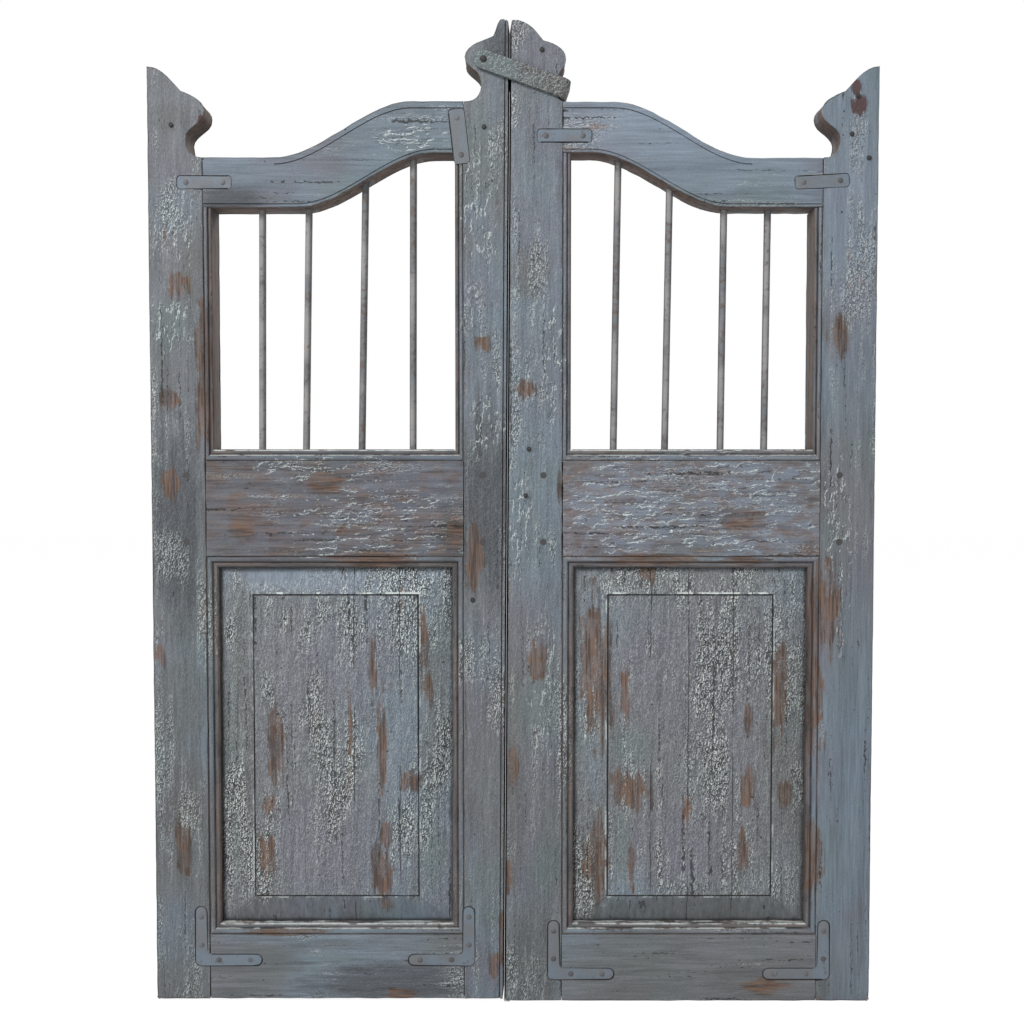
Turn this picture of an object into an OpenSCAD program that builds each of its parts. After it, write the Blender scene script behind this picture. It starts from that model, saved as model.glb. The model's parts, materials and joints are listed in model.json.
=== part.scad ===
// Pair of half-height wooden door leaves, framed, panelled and barred.
// X runs across the pair, the front faces -Y, Z is up, and the origin is at the bottom middle.
// Each leaf is drawn with its outer edge at x = 0 and its face towards the meeting line at +x,
// and then set in place on the left, or mirrored on the right.

/* [Pair] */
// Middle of the pair to each leaf's outer edge
half_w = 514; // [480:1:560]
// Thickness of the framing
leaf_t = 42; // [38:1:50]
// Foot of the left leaf above the foot of the right leaf
left_foot_z = 3; // [0:0.5:8]
// Meeting line at the foot, left of the middle
meeting_foot_x = 13; // [4:0.5:16]
// Meeting line at the heads, left of the middle
meeting_head_x = 4.5; // [2:0.5:14]
// Gap between the two leaves at their faces
meeting_gap = 4.4; // [4.2:0.1:8]
// Gap between the two leaves at their backs
meeting_back_gap = 0.25; // [0.25:0.05:1.2]

/* [Stiles] */
// Height of the hinge stiles
hinge_stile_h = 1332; // [1320:1:1350]
// Height of the meeting stiles
meeting_stile_h = 1397; // [1385:1:1420]
// Height of the hinge stiles' heads above the arched rail
hinge_head_h = 126; // [114:1:144]
// Height of the meeting stiles' heads above the arched rail
meeting_head_h = 113; // [101:1:136]
// Face width of a hinge stile, from its edge to the rail joints
hinge_stile_w = 77; // [70:1:90]
// Middle of the pair to the rail joints of the meeting stiles
meeting_joint_x = 70; // [66:1:80]
// Radius of the hinge stiles' worn foot corner
foot_corner_r = 5; // [3:0.5:9]
// Reach of a hinge stile's head lobe from the outer edge
hinge_lobe_w = 81; // [72:1:90]
// Reach of the left meeting stile's head lobe from its edge
left_lobe_w = 61.5; // [56:0.5:66]
// Reach of the right meeting stile's head lobe from its edge
right_lobe_w = 77; // [72:0.5:79]

/* [Rails] */
// Face height of the bottom rail
bottom_rail_h = 97; // [90:1:110]
// Lower joint of the lock rail
lock_rail_z = 644; // [620:1:680]
// Face height of the lock rail
lock_rail_h = 135; // [120:1:150]
// Height of the arched rail at the hinge stile
arch_rail_h = 70; // [64:1:76]
// Height of the arched rail at the meeting stile
crest_rail_h = 72; // [66:1:80]
// Start of the rising top edge, from the leaf's outer edge
arch_start = 178; // [150:1:190]
// Level stretch of the top edge beside the meeting stile's joint
crest_l = 73; // [61:1:96]
// Lag of the underside's rise behind the top edge's
arch_lag = 32; // [15:1:36]

/* [Mouldings] */
// Width of the moulding on the stiles of the window
window_stick_w = 12; // [9:0.5:15]
// Width of the moulding on the window's lower edge
sill_stick_w = 17; // [12:0.5:20]
// Width of the moulding round the panel
panel_stick_w = 16.5; // [12:0.5:20]
// Depth of the mouldings at the foot of their inner reed
stick_d = 4.5; // [3.5:0.5:6]
// Distance of the line cut along the arched rail's top edge
arch_line_inset = 9; // [6:0.5:12]
// Distance of the bead line cut along the arched rail's underside
arch_bead_w = 4; // [3:0.5:6]
// Width of the cut lines
line_w = 1.6; // [1:0.1:2.5]
// Depth of the cut lines
line_d = 1.5; // [1:0.1:2.5]
// Width of the bead down the left leaf's meeting edge
edge_bead_w = 3.5; // [3:0.5:5]
// Depth of the line cut beside that bead
edge_line_d = 3; // [2:0.5:4]

/* [Panel] */
// Sloped margin at the sides of the raised field
margin_side_w = 50; // [40:1:60]
// Sloped margin above and below the raised field
margin_end_h = 40; // [30:1:55]
// Depth of the field behind the face of the framing
field_d = 3; // [2:0.5:5]
// Step from the field down to the margin
field_step = 0.8; // [0.5:0.1:2]
// Depth of the line cut round the field, below the margin
field_line_d = 2.2; // [1.5:0.1:3]
// Depth of the tongue's front behind the face of the framing
tongue_d = 13; // [11:0.5:15]
// Thickness of the panel's tongue
tongue_t = 8; // [6:0.5:9]
// Reach of the tongue into the framing
tongue_w = 10; // [8:0.5:11]

/* [Joinery] */
// Thickness of the tenons
tenon_t = 14; // [11:0.5:16]
// Shoulder above and below each tenon
tenon_shoulder = 10; // [8:1:14]
// Length of the tenons in the hinge stiles
hinge_tenon_l = 55; // [45:1:60]
// Length of the tenons in the meeting stiles
meeting_tenon_l = 42; // [38:1:45]
// Radius of the pegs
peg_r = 4.5; // [3.5:0.1:5]
// Distance of the pegs from the joint
peg_inset = 27; // [20:1:32]
// Distance of the pegs from the lock rail's joints
peg_edge = 20; // [18:1:26]
// Clearance of joints and of pieces set into the wood
wood_clear = 0.15; // [0.1:0.05:0.25]

/* [Bars] */
// Radius of the window bars
bar_r = 5; // [4:0.1:6]
// Depth of the bars' sockets
socket_d = 22; // [16:1:26]

/* [Irons] */
// Thickness of the mending plates and corner irons
iron_t = 2.6; // [2:0.1:3.4]
// Length of the mending plates
plate_l = 76; // [68:1:84]
// Width of the mending plates
plate_w = 18; // [15:0.5:20]
// Width of the upright mending plate
wide_plate_w = 22; // [20:0.5:26]
// Upright leg of the corner irons
iron_leg_h = 87; // [78:1:95]
// Level leg of the corner irons
iron_leg_w = 96; // [85:1:105]
// Width of the corner irons
iron_w = 17; // [14:0.5:20]
// Radius of the mending plates' corners
plate_corner_r = 4.5; // [3:0.5:6]
// Radius of the corner irons' outer corner
iron_corner_r = 8; // [5:0.5:9]
// Radius of the corner irons' inner corner
iron_fillet_r = 6; // [4:0.5:9]
// Depth of the irons' faces behind the face of the wood
iron_sink = 0.7; // [0.4:0.1:1.2]
// Radius of the screws' shanks
screw_r = 2; // [1.6:0.1:2.3]
// Length of the screws in the wood
screw_l = 19; // [15:1:23]
// Radius of the screws' heads
screw_head_r = 4; // [3.4:0.1:4.6]
// Height of the screws' heads
screw_head_h = 1.6; // [1.2:0.1:2.2]

/* [Hinges] */
// Height of a butt hinge
hinge_h = 76; // [66:1:90]
// Middle of the right upper hinge below the top of its stile
upper_hinge_drop = 282; // [272:5:352]
// Middle of the lower hinges above each leaf's foot
lower_hinge_z = 200; // [170:5:260]
// Thickness of the hinge plates
hinge_plate_t = 2.5; // [2:0.1:3]
// Width of the hinge plates on the stile's edge
hinge_plate_w = 28; // [25:0.5:30]
// Gap between the two plates of a hinge
hinge_gap = 1.5; // [1:0.1:2]
// Radius of the hinge barrels
barrel_r = 4; // [3.6:0.1:4.5]
// Radius of the hinge pins
pin_r = 2; // [1.6:0.1:2.2]
// Spacing of the screws in a hinge plate
hinge_screw_spacing = 50; // [44:1:56]
// Radius of the holes for the screws into the door frame
jamb_hole_r = 2.6; // [2.4:0.1:3]

/* [Strap loop] */
// Width of the strap
strap_w = 27; // [22:0.5:30]
// Thickness of the strap
strap_t = 5.5; // [4:0.1:6.5]
// Nail to the inside of the strap's far bend
strap_reach = 120.5; // [120:0.5:126]
// Slope of the strap
strap_slope = 19.4; // [18:0.1:21]
// Nail below the top of the left meeting stile
nail_drop = 57; // [52:0.5:60]
// Nail to the middle of the pair
nail_x = 41.5; // [40:0.5:44]
// Radius of the nail
nail_r = 2.6; // [2.2:0.1:3]
// Radius of the nail's heads
nail_head_r = 5; // [4:0.1:6]
// Height of the nail's heads
nail_head_h = 2.7; // [1.5:0.1:3]

/* [Hidden] */
$fn = 48;
// Running clearance of pins in their barrels and of the strap on its nail
run_clear = 0.05;
// Clearance round the irons in their seats
seat_clear = 0.8;
// Clearance between the strap and the faces that it passes over
strap_clear = 0.4;
// Gap between the knuckles of a hinge, and between the barrels and the wood
knuckle_gap = 0.5;
// How far cuts run past a face
overrun = 2;
// Radius inside the strap's bends
strap_bend_r = 4;
// Head of a hinge pin
pin_head_r = 3.2;
pin_head_h = 1.8;
// Lengths of straight stretches along curves
curve_steps = 7;
corner_steps = 10;
arch_steps = 22;

// Mouldings of two reeds, as shares of their width
quirk_share = 0.08;
reed_share = 0.4;
// Depth at the foot of the outer reed, as a share of the moulding's depth
outer_reed_share = 0.55;

// Heads of the stiles: control points of each curve after the start, as shares of the lobe's reach
// and of the head's height above the rail
hinge_head_start_share = [0, 1];
hinge_head_shares = [
    [[0.26, 1], [0.38, 0.87], [0.59, 0.73]],
    [[0.77, 0.69], [1, 0.62], [1, 0.51]],
    [[1, 0.36], [0.667, 0.33], [0.667, 0.21]],
    [[0.667, 0.08], [0.75, 0], [0.95, 0]],
];
left_head_start_share = [0, 0.96];
left_head_shares = [
    [[0, 0.985], [0.05, 1], [0.14, 1]],
    [[0.26, 1], [0.28, 0.87], [0.35, 0.8]],
    [[0.6, 0.73], [1, 0.69], [1, 0.54]],
    [[1, 0.41], [0.62, 0.39], [0.62, 0.23]],
    [[0.62, 0.09], [0.72, 0], [1, 0]],
];
right_head_start_share = [0, 1];
right_head_shares = [
    [[0.33, 1], [0.42, 0.88], [0.59, 0.745]],
    [[0.8, 0.705], [1, 0.645], [1, 0.51]],
    [[1, 0.39], [0.825, 0.37], [0.825, 0.21]],
    [[0.825, 0.08], [0.85, 0], [0.92, 0]],
];

// Bars: place of each foot across the window, and lean of each top, as shares of the window's width
bar_shares = [0.189, 0.372, 0.605, 0.82];
left_lean_shares = [0.009, 0.02, 0.023, 0.006];
right_lean_shares = [-0.009, -0.01, -0.017, -0.018];

// Mending plates: how far each one's middle lies past the joint, as a share of its length, and its
// height, as a share of the rail's height there
left_outer_plate_share = [0.03, 0.5];
left_inner_plate_share = [0.079, 0.32];
right_outer_plate_share = [0.03, 0.52];
right_inner_plate_share = [0.03, 0.33];
// Turn of the plates from level
left_inner_turn = 96.5;
right_outer_turn = -2.6;
// Screws of a plate and of an iron's leg, as shares of the length from the middle or the corner
plate_screw_share = 0.34;
leg_screw_shares = [0.35, 0.82];
// Corner irons: outer corner, as shares of the face width of the stile and height of the rail
left_iron_share = [0.27, 0.5];
right_iron_share = [0.25, 0.32];

// Where the pieces of a leaf lie, from the leaf's outer edge
LEFT = -1;
RIGHT = 1;
hinge_joint = hinge_stile_w;
meeting_joint = half_w - meeting_joint_x;
window_left = hinge_joint + window_stick_w;
window_right = meeting_joint - window_stick_w;
window_w = window_right - window_left;
panel_left = hinge_joint + panel_stick_w;
panel_right = meeting_joint - panel_stick_w;
lock_top = lock_rail_z + lock_rail_h;
sill_z = lock_top + sill_stick_w;
panel_top = lock_rail_z - panel_stick_w;
panel_foot = bottom_rail_h + panel_stick_w;
arch_top = hinge_stile_h - hinge_head_h;
arch_z = arch_top - arch_rail_h;
crest_top = meeting_stile_h - meeting_head_h;
crest_soffit = crest_top - crest_rail_h;
arch_run = meeting_joint - crest_l - arch_start;
front_y = -leaf_t / 2;
back_y = leaf_t / 2;
iron_y = front_y + iron_sink;
// How far each meeting edge runs out from its face to its back
meeting_slope = (meeting_gap - meeting_back_gap) / 2;

// The hinge axis, from the leaf's outer edge and the middle of its thickness
axis_u = -hinge_gap / 2;
axis_y = back_y + knuckle_gap + barrel_r;
knuckle_h = hinge_h / 3;

// The strap's nail
nail_u = half_w - nail_x;
nail_z = meeting_stile_h - nail_drop;

function foot(side) = side == LEFT ? left_foot_z : 0;
function upper_z(side) = hinge_stile_h - upper_hinge_drop + foot(side);
function lower_z(side) = lower_hinge_z + foot(side);
function edge_foot(side) = half_w + side * meeting_foot_x - meeting_gap / 2;
function edge_head(side) = half_w + side * meeting_head_x - meeting_gap / 2;

// Points of a chain of cubic curves whose control points are shares of a reach and a height
function cubic(p, steps) = [
    for (i = [1 : steps])
        let (t = i / steps, s = 1 - t)
            s * s * s * p[0] + 3 * s * s * t * p[1] + 3 * s * t * t * p[2] + t * t * t * p[3]
];
function chain(start, rows) = [
    for (i = [0 : len(rows) - 1])
        let (from = i == 0 ? start : rows[i - 1][2])
            each cubic(concat([from], rows[i]), curve_steps)
];

// Height of a rise that eases in and out, from 0 to 1
function ease(t) = let (c = min(max(t, 0), 1)) c * c * (3 - 2 * c);
function arch_top_at(u) = arch_top + (crest_top - arch_top) * ease((u - arch_start) / arch_run);
function soffit_at(u) =
    arch_z + (crest_soffit - arch_z) * ease((u - arch_start - arch_lag) / arch_run);
function along(from, to) = [for (i = [0 : arch_steps]) from + (to - from) * i / arch_steps];

// Foot and head of a window bar's axis
function leans(side) = side == LEFT ? left_lean_shares : right_lean_shares;
function bar_foot(i) = [window_left + bar_shares[i] * window_w, sill_z - socket_d];
function bar_head(side, i) =
    let (u = window_left + (bar_shares[i] + leans(side)[i]) * window_w)
        [u, soffit_at(u) + socket_d];

// Mending plates: middle, turn and width
function plate_at(side, outer) =
    let (
        share = side == LEFT
            ? (outer ? left_outer_plate_share : left_inner_plate_share)
            : (outer ? right_outer_plate_share : right_inner_plate_share),
        u = outer ? hinge_joint + share[0] * plate_l : meeting_joint - share[0] * plate_l,
        low = outer ? arch_z : crest_soffit,
        high = outer ? arch_top : crest_top
    ) [u, low + share[1] * (high - low)];
function plate_turn(side, outer) =
    side == LEFT ? (outer ? 0 : left_inner_turn) : (outer ? right_outer_turn : 0);
function plate_width(side, outer) = side == LEFT && !outer ? wide_plate_w : plate_w;

// Corner irons: outer corner on the hinge side and on the meeting side
function iron_at(side, outer) =
    let (
        share = side == LEFT ? left_iron_share : right_iron_share,
        stile_w = outer ? hinge_stile_w : edge_foot(side) - meeting_joint,
        out = outer ? -1 : 1,
        joint = outer ? hinge_joint : meeting_joint
    ) [joint + out * share[0] * stile_w, foot(side) + share[1] * bottom_rail_h];

// Outlines of the plates and corner irons, with room round them where they are seats
function arc(c, r, from, to) = [
    for (i = [0 : corner_steps])
        let (a = from + (to - from) * i / corner_steps)
            c + r * [cos(a), sin(a)]
];
function plate_outline(w, room) =
    let (
        l = plate_l / 2 - plate_corner_r,
        h = w / 2 - plate_corner_r,
        r = plate_corner_r + room
    ) concat(
        arc([l, h], r, 0, 90),
        arc([-l, h], r, 90, 180),
        arc([-l, -h], r, 180, 270),
        arc([l, -h], r, 270, 360)
    );
function iron_outline(room) =
    let (
        end_r = iron_w / 2,
        fillet = iron_w + iron_fillet_r
    ) concat(
        arc([iron_corner_r, iron_corner_r], iron_corner_r + room, 180, 270),
        arc([iron_leg_w - end_r, end_r], end_r + room, -90, 90),
        arc([fillet, fillet], iron_fillet_r - room, 270, 180),
        arc([end_r, iron_leg_h - end_r], end_r + room, 0, 180)
    );

// Places of the screws of a leaf's irons, on its face
function plate_screws(side, outer) =
    let (c = plate_at(side, outer), turn = plate_turn(side, outer))
        [for (s = [-1, 1]) c + s * plate_screw_share * plate_l * [cos(turn), sin(turn)]];
function iron_screws(side, outer) =
    let (c = iron_at(side, outer), in = outer ? 1 : -1)
        concat(
            [for (s = leg_screw_shares) c + [in * iron_w / 2, s * iron_leg_h]],
            [for (s = leg_screw_shares) c + [in * s * iron_leg_w, iron_w / 2]]
        );
function screw_sites(side) = [
    for (outer = [true, false])
        each concat(plate_screws(side, outer), iron_screws(side, outer))
];
function peg_sites() = [
    for (u = [hinge_joint - peg_inset, meeting_joint + peg_inset])
        for (z = [lock_rail_z + peg_edge, lock_top - peg_edge])
            [u, z]
];

paint = "LightSlateGray";
iron = "DimGray";
leather = "RosyBrown";

// Set a leaf's piece in place
module on(side) {
    if (side == LEFT) translate([-half_w, 0, 0]) children();
    else mirror([1, 0, 0]) translate([-half_w, 0, 0]) children();
}

// A flat outline on the face, u to the right and z up, given depth from y to y + depth
module slab(y, depth) {
    translate([0, y + depth, 0]) rotate([90, 0, 0]) linear_extrude(depth) children();
}

// A round bar through the thickness at a place on the face
module across(site, r, y, depth) {
    translate([site[0], y + depth, site[1]]) rotate([90, 0, 0]) cylinder(h = depth, r = r);
}

// A reed of a moulding, from its start: distance from the joint, and depth behind the face
function reed(start, w, rise, foot_d) = [
    for (i = [0 : curve_steps])
        let (a = 180 - 180 * i / curve_steps)
            [start + w / 2 * (1 + cos(a)), foot_d - rise * sin(a)]
];

// Section cut away for a moulding of an outer reed in line with the face and a lower inner reed
function stick_cut(w) =
    let (
        quirk = quirk_share * w,
        reed_w = reed_share * w,
        sunk = outer_reed_share * stick_d,
        rise = min(reed_w / 2, sunk)
    ) concat(
        [[0, -overrun], [0, sunk]],
        reed(quirk, reed_w, rise, sunk),
        reed(2 * quirk + reed_w, reed_w, rise, stick_d),
        [[w + overrun, stick_d], [w + overrun, -overrun]]
    );

// A moulding down the edge of a stile, in from the joint at u, towards +u or -u
module upright_stick(u, towards, w, z, h) {
    translate([u, front_y, z])
        linear_extrude(h)
            polygon([for (p = stick_cut(w)) [towards * p[0], p[1]]]);
}

// A moulding along the edge of a rail, in from the joint at z, towards +z or -z
module level_stick(z, towards, w, u, l) {
    translate([u, front_y, z])
        rotate([90, 0, 90])
            linear_extrude(l)
                polygon([for (p = stick_cut(w)) [p[1], towards * p[0]]]);
}

// Room for the panel's tongue in the framing
module panel_groove() {
    grow = tongue_w + wood_clear;
    translate([panel_left - grow, front_y + tongue_d - wood_clear, panel_foot - grow])
        cube([
            panel_right - panel_left + 2 * grow,
            tongue_t + 2 * wood_clear,
            panel_top - panel_foot + 2 * grow,
        ]);
}

// A tenon of a rail, from its root behind the joint towards +u or -u, with room round it where it
// is a mortise
module tenon(joint, towards, length, z, h, room) {
    l = length + room;
    translate([
        towards > 0 ? joint - overrun : joint - l,
        -tenon_t / 2 - room,
        z + tenon_shoulder - room,
    ])
        cube([l + overrun, tenon_t + 2 * room, h - 2 * tenon_shoulder + 2 * room]);
}

// The tenons at one end of a leaf's rails
module rail_tenons(side, outer, room) {
    joint = outer ? hinge_joint : meeting_joint;
    towards = outer ? -1 : 1;
    length = outer ? hinge_tenon_l : meeting_tenon_l;
    bottom_tenon(side, joint, towards, length, room);
    tenon(joint, towards, length, lock_rail_z, lock_rail_h, room);
    arch_tenon(outer, room);
}

module bottom_tenon(side, joint, towards, length, room) {
    tenon(joint, towards, length, foot(side), bottom_rail_h - foot(side), room);
}

module arch_tenon(outer, room) {
    if (outer) tenon(hinge_joint, -1, hinge_tenon_l, arch_z, arch_rail_h, room);
    else tenon(meeting_joint, 1, meeting_tenon_l, crest_soffit, crest_top - crest_soffit, room);
}

// Holes for the pegs in a leaf's framing
module peg_holes() {
    for (site = peg_sites()) across(site, peg_r + wood_clear, front_y - overrun, leaf_t + 2 * overrun);
}

// Seats and screw holes for the irons of a leaf
module iron_fixings(side) {
    seat = overrun + iron_sink + iron_t;
    for (outer = [true, false]) {
        plate_form(side, outer, front_y - overrun, seat, seat_clear);
        iron_form(side, outer, front_y - overrun, seat, seat_clear);
    }
    for (site = screw_sites(side))
        across(site, screw_r + wood_clear, front_y - overrun, seat + screw_l + wood_clear);
}

// Bores for the window bars
module bar_sockets(side) {
    for (i = [0 : len(bar_shares) - 1]) bar_rod(side, i, wood_clear);
}

module bar_rod(side, i, room) {
    low = bar_foot(i);
    rise = bar_head(side, i) - low;
    translate([low[0], 0, low[1]])
        rotate([0, atan2(rise[0], rise[1]), 0])
            translate([0, 0, -room])
                cylinder(h = norm(rise) + 2 * room, r = bar_r + room);
}

// Outline of a stile's inner edge, from the arched rail's underside down to the foot
function inner_edge(side, joint, towards, soffit) = [
    [joint, soffit],
    [joint + towards * window_stick_w, soffit],
    [joint + towards * window_stick_w, sill_z],
    [joint, lock_top],
    [joint, lock_rail_z],
    [joint + towards * panel_stick_w, panel_top],
    [joint + towards * panel_stick_w, panel_foot],
    [joint, bottom_rail_h],
    [joint, foot(side)],
];

// Mouldings of a stile beside the window and beside the panel
module stile_sticks(joint, towards, soffit) {
    upright_stick(joint, towards, window_stick_w, lock_top, soffit - lock_top + overrun);
    upright_stick(joint, towards, panel_stick_w, bottom_rail_h, lock_rail_z - bottom_rail_h);
}

module hinge_stile(side) {
    head_h = hinge_stile_h - arch_top;
    head = [
        for (p = concat([hinge_head_start_share], chain(hinge_head_start_share, hinge_head_shares)))
            [p[0] * hinge_lobe_w, arch_top + p[1] * head_h]
    ];
    outline = concat(
        arc([foot_corner_r, foot(side) + foot_corner_r], foot_corner_r, 270, 180),
        head,
        [[hinge_joint, arch_top]],
        inner_edge(side, hinge_joint, 1, arch_z)
    );
    color(paint)
        difference() {
            slab(front_y, leaf_t) polygon(outline);
            stile_sticks(hinge_joint, 1, arch_z);
            panel_groove();
            rail_tenons(side, true, wood_clear);
            peg_holes();
            iron_fixings(side);
            for (z = [upper_z(side), lower_z(side)]) {
                hinge_seat(z);
                hinge_screw_set(z, wood_clear);
            }
        }
}

// Section in front of a meeting edge, which slopes so that the leaves can pass each other
function edge_cut() = [
    [-meeting_slope * overrun / leaf_t, front_y - overrun],
    [meeting_slope * (leaf_t + overrun) / leaf_t, back_y + overrun],
    [meeting_slope + 2 * overrun, back_y + overrun],
    [meeting_slope + 2 * overrun, front_y - overrun],
];

// The slope of a meeting edge and the line of the left edge's bead, from the edge's foot to its top
module meeting_edge(side, top) {
    lean = atan2(edge_head(side) - edge_foot(side), top - foot(side));
    translate([edge_foot(side), 0, foot(side)])
        rotate([0, lean, 0])
            translate([0, 0, -overrun]) {
                linear_extrude(meeting_stile_h + 2 * overrun) polygon(edge_cut());
                if (side == LEFT)
                    translate([-edge_bead_w - line_w, front_y - overrun, 0])
                        cube([line_w, overrun + edge_line_d, meeting_stile_h + 2 * overrun]);
            }
}

module meeting_stile(side) {
    head_h = meeting_stile_h - crest_top;
    edge = edge_head(side);
    wide = meeting_slope + overrun;
    reach = side == LEFT ? left_lobe_w : right_lobe_w;
    start = side == LEFT ? left_head_start_share : right_head_start_share;
    rows = side == LEFT ? left_head_shares : right_head_shares;
    top = crest_top + start[1] * head_h;
    head = [for (p = chain(start, rows)) [edge - p[0] * reach, crest_top + p[1] * head_h]];
    outline = concat(
        [[edge_foot(side) + wide, foot(side)], [edge + wide, top]],
        head,
        [[meeting_joint, crest_top]],
        inner_edge(side, meeting_joint, -1, crest_soffit)
    );
    color(paint)
        difference() {
            slab(front_y, leaf_t) polygon(outline);
            meeting_edge(side, top);
            stile_sticks(meeting_joint, -1, crest_soffit);
            panel_groove();
            rail_tenons(side, false, wood_clear);
            peg_holes();
            iron_fixings(side);
            if (side == LEFT)
                across([nail_u, nail_z], nail_r + run_clear, front_y - overrun, leaf_t + 2 * overrun);
        }
}

// A line cut along an arched edge, a given distance below or above it
module arch_line(us, zs, inset) {
    n = len(us) - 1;
    slab(front_y - overrun, overrun + line_d)
        polygon(concat(
            [for (i = [0 : n]) [us[i], zs[i] + inset]],
            [for (i = [n : -1 : 0]) [us[i], zs[i] + inset + sign(inset) * line_w]]
        ));
}

module arched_rail(side) {
    low_start = arch_start + arch_lag;
    rise_us = along(arch_start, arch_start + arch_run);
    low_us = along(low_start, low_start + arch_run);
    outline = concat(
        [[hinge_joint, arch_z]],
        [for (u = low_us) [u, soffit_at(u)]],
        [[meeting_joint, crest_soffit], [meeting_joint, crest_top]],
        [for (i = [arch_steps : -1 : 0]) [rise_us[i], arch_top_at(rise_us[i])]],
        [[hinge_joint, arch_top]]
    );
    line_us = concat(rise_us, [meeting_joint + overrun]);
    bead_us = concat([hinge_joint - overrun], low_us, [meeting_joint + overrun]);
    color(paint)
        difference() {
            union() {
                slab(front_y, leaf_t) polygon(outline);
                arch_tenon(true, 0);
                arch_tenon(false, 0);
            }
            arch_line(line_us, [for (u = line_us) arch_top_at(u)], -arch_line_inset);
            arch_line(bead_us, [for (u = bead_us) soffit_at(u)], arch_bead_w);
            bar_sockets(side);
            iron_fixings(side);
        }
}

module lock_rail(side) {
    color(paint)
        difference() {
            union() {
                slab(front_y, leaf_t)
                    polygon([
                        [hinge_joint, lock_rail_z], [panel_left, panel_top],
                        [panel_right, panel_top], [meeting_joint, lock_rail_z],
                        [meeting_joint, lock_top], [window_right, sill_z],
                        [window_left, sill_z], [hinge_joint, lock_top],
                    ]);
                tenon(hinge_joint, -1, hinge_tenon_l, lock_rail_z, lock_rail_h, 0);
                tenon(meeting_joint, 1, meeting_tenon_l, lock_rail_z, lock_rail_h, 0);
            }
            level_stick(lock_top, 1, sill_stick_w, hinge_joint, meeting_joint - hinge_joint);
            level_stick(lock_rail_z, -1, panel_stick_w, hinge_joint, meeting_joint - hinge_joint);
            panel_groove();
            peg_holes();
            bar_sockets(side);
        }
}

module bottom_rail(side) {
    color(paint)
        difference() {
            union() {
                slab(front_y, leaf_t)
                    polygon([
                        [hinge_joint, foot(side)], [meeting_joint, foot(side)],
                        [meeting_joint, bottom_rail_h], [panel_right, panel_foot],
                        [panel_left, panel_foot], [hinge_joint, bottom_rail_h],
                    ]);
                bottom_tenon(side, hinge_joint, -1, hinge_tenon_l, 0);
                bottom_tenon(side, meeting_joint, 1, meeting_tenon_l, 0);
            }
            level_stick(bottom_rail_h, 1, panel_stick_w, hinge_joint, meeting_joint - hinge_joint);
            panel_groove();
            iron_fixings(side);
        }
}

// A wedge that slopes the panel's face from its tongue up to the step of the field
function margin_cut(w) = [
    [-overrun, -overrun],
    [w, -overrun],
    [w, field_d + field_step],
    [0, tongue_d],
    [-overrun, tongue_d],
];

// Line cut round the panel's field
module field_line() {
    left = panel_left + margin_side_w;
    low = panel_foot + margin_end_h;
    w = panel_right - margin_side_w - left;
    h = panel_top - margin_end_h - low;
    depth = field_d + field_step + field_line_d;
    difference() {
        translate([left - line_w, front_y, low - line_w]) cube([w + 2 * line_w, depth, h + 2 * line_w]);
        translate([left, front_y - overrun, low]) cube([w, depth + 2 * overrun, h]);
    }
}

// Raised and fielded panel on a tongue that lies in the framing's groove
module panel() {
    w = panel_right - panel_left;
    h = panel_top - panel_foot;
    color(paint)
        union() {
            translate([panel_left - tongue_w, front_y + tongue_d, panel_foot - tongue_w])
                cube([w + 2 * tongue_w, tongue_t, h + 2 * tongue_w]);
            difference() {
                translate([panel_left + wood_clear, front_y + field_d, panel_foot + wood_clear])
                    cube([w - 2 * wood_clear, tongue_d - field_d + tongue_t / 2, h - 2 * wood_clear]);
                for (s = [1, -1]) {
                    translate([s > 0 ? panel_left : panel_right, front_y, panel_foot - overrun])
                        linear_extrude(h + 2 * overrun)
                            polygon([for (p = margin_cut(margin_side_w)) [s * p[0], p[1]]]);
                    translate([panel_left - overrun, front_y, s > 0 ? panel_foot : panel_top])
                        rotate([90, 0, 90])
                            linear_extrude(w + 2 * overrun)
                                polygon([for (p = margin_cut(margin_end_h)) [p[1], s * p[0]]]);
                }
                field_line();
            }
        }
}

module bar(side, i) {
    color(iron) bar_rod(side, i, 0);
}

module pegs() {
    color(paint) for (site = peg_sites()) across(site, peg_r, front_y, leaf_t);
}

// Form of a mending plate, its length along u
module plate_form(side, outer, y, depth, room) {
    c = plate_at(side, outer);
    translate([c[0], 0, c[1]])
        rotate([0, -plate_turn(side, outer), 0])
            slab(y, depth) polygon(plate_outline(plate_width(side, outer), room));
}

// Form of an L-shaped iron across the joint of a stile and the bottom rail
module iron_form(side, outer, y, depth, room) {
    c = iron_at(side, outer);
    translate([c[0], 0, c[1]])
        mirror([outer ? 0 : 1, 0, 0])
            slab(y, depth) polygon(iron_outline(room));
}

// Holes through an iron for its screws
module drilled(sites) {
    color(iron)
        difference() {
            children();
            for (site = sites)
                across(site, screw_r + wood_clear, iron_y - overrun, iron_t + 2 * overrun);
        }
}

module mending_plate(side, outer) {
    drilled(plate_screws(side, outer)) plate_form(side, outer, iron_y, iron_t, 0);
}

module corner_iron(side, outer) {
    drilled(iron_screws(side, outer)) iron_form(side, outer, iron_y, iron_t, 0);
}

// Low dome of a fastener's head, on z = 0 and rising along z
module dome(r, h) {
    ball_r = (r * r + h * h) / (2 * h);
    intersection() {
        translate([0, 0, h - ball_r]) sphere(r = ball_r);
        cylinder(h = h, r = r);
    }
}

module screws(side) {
    color(iron)
        for (site = screw_sites(side))
            translate([site[0], iron_y, site[1]])
                rotate([90, 0, 0])
                    union() {
                        dome(screw_head_r, screw_head_h);
                        translate([0, 0, -iron_t - screw_l])
                            cylinder(h = iron_t + screw_l + screw_head_h / 2, r = screw_r);
                    }
}

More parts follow.
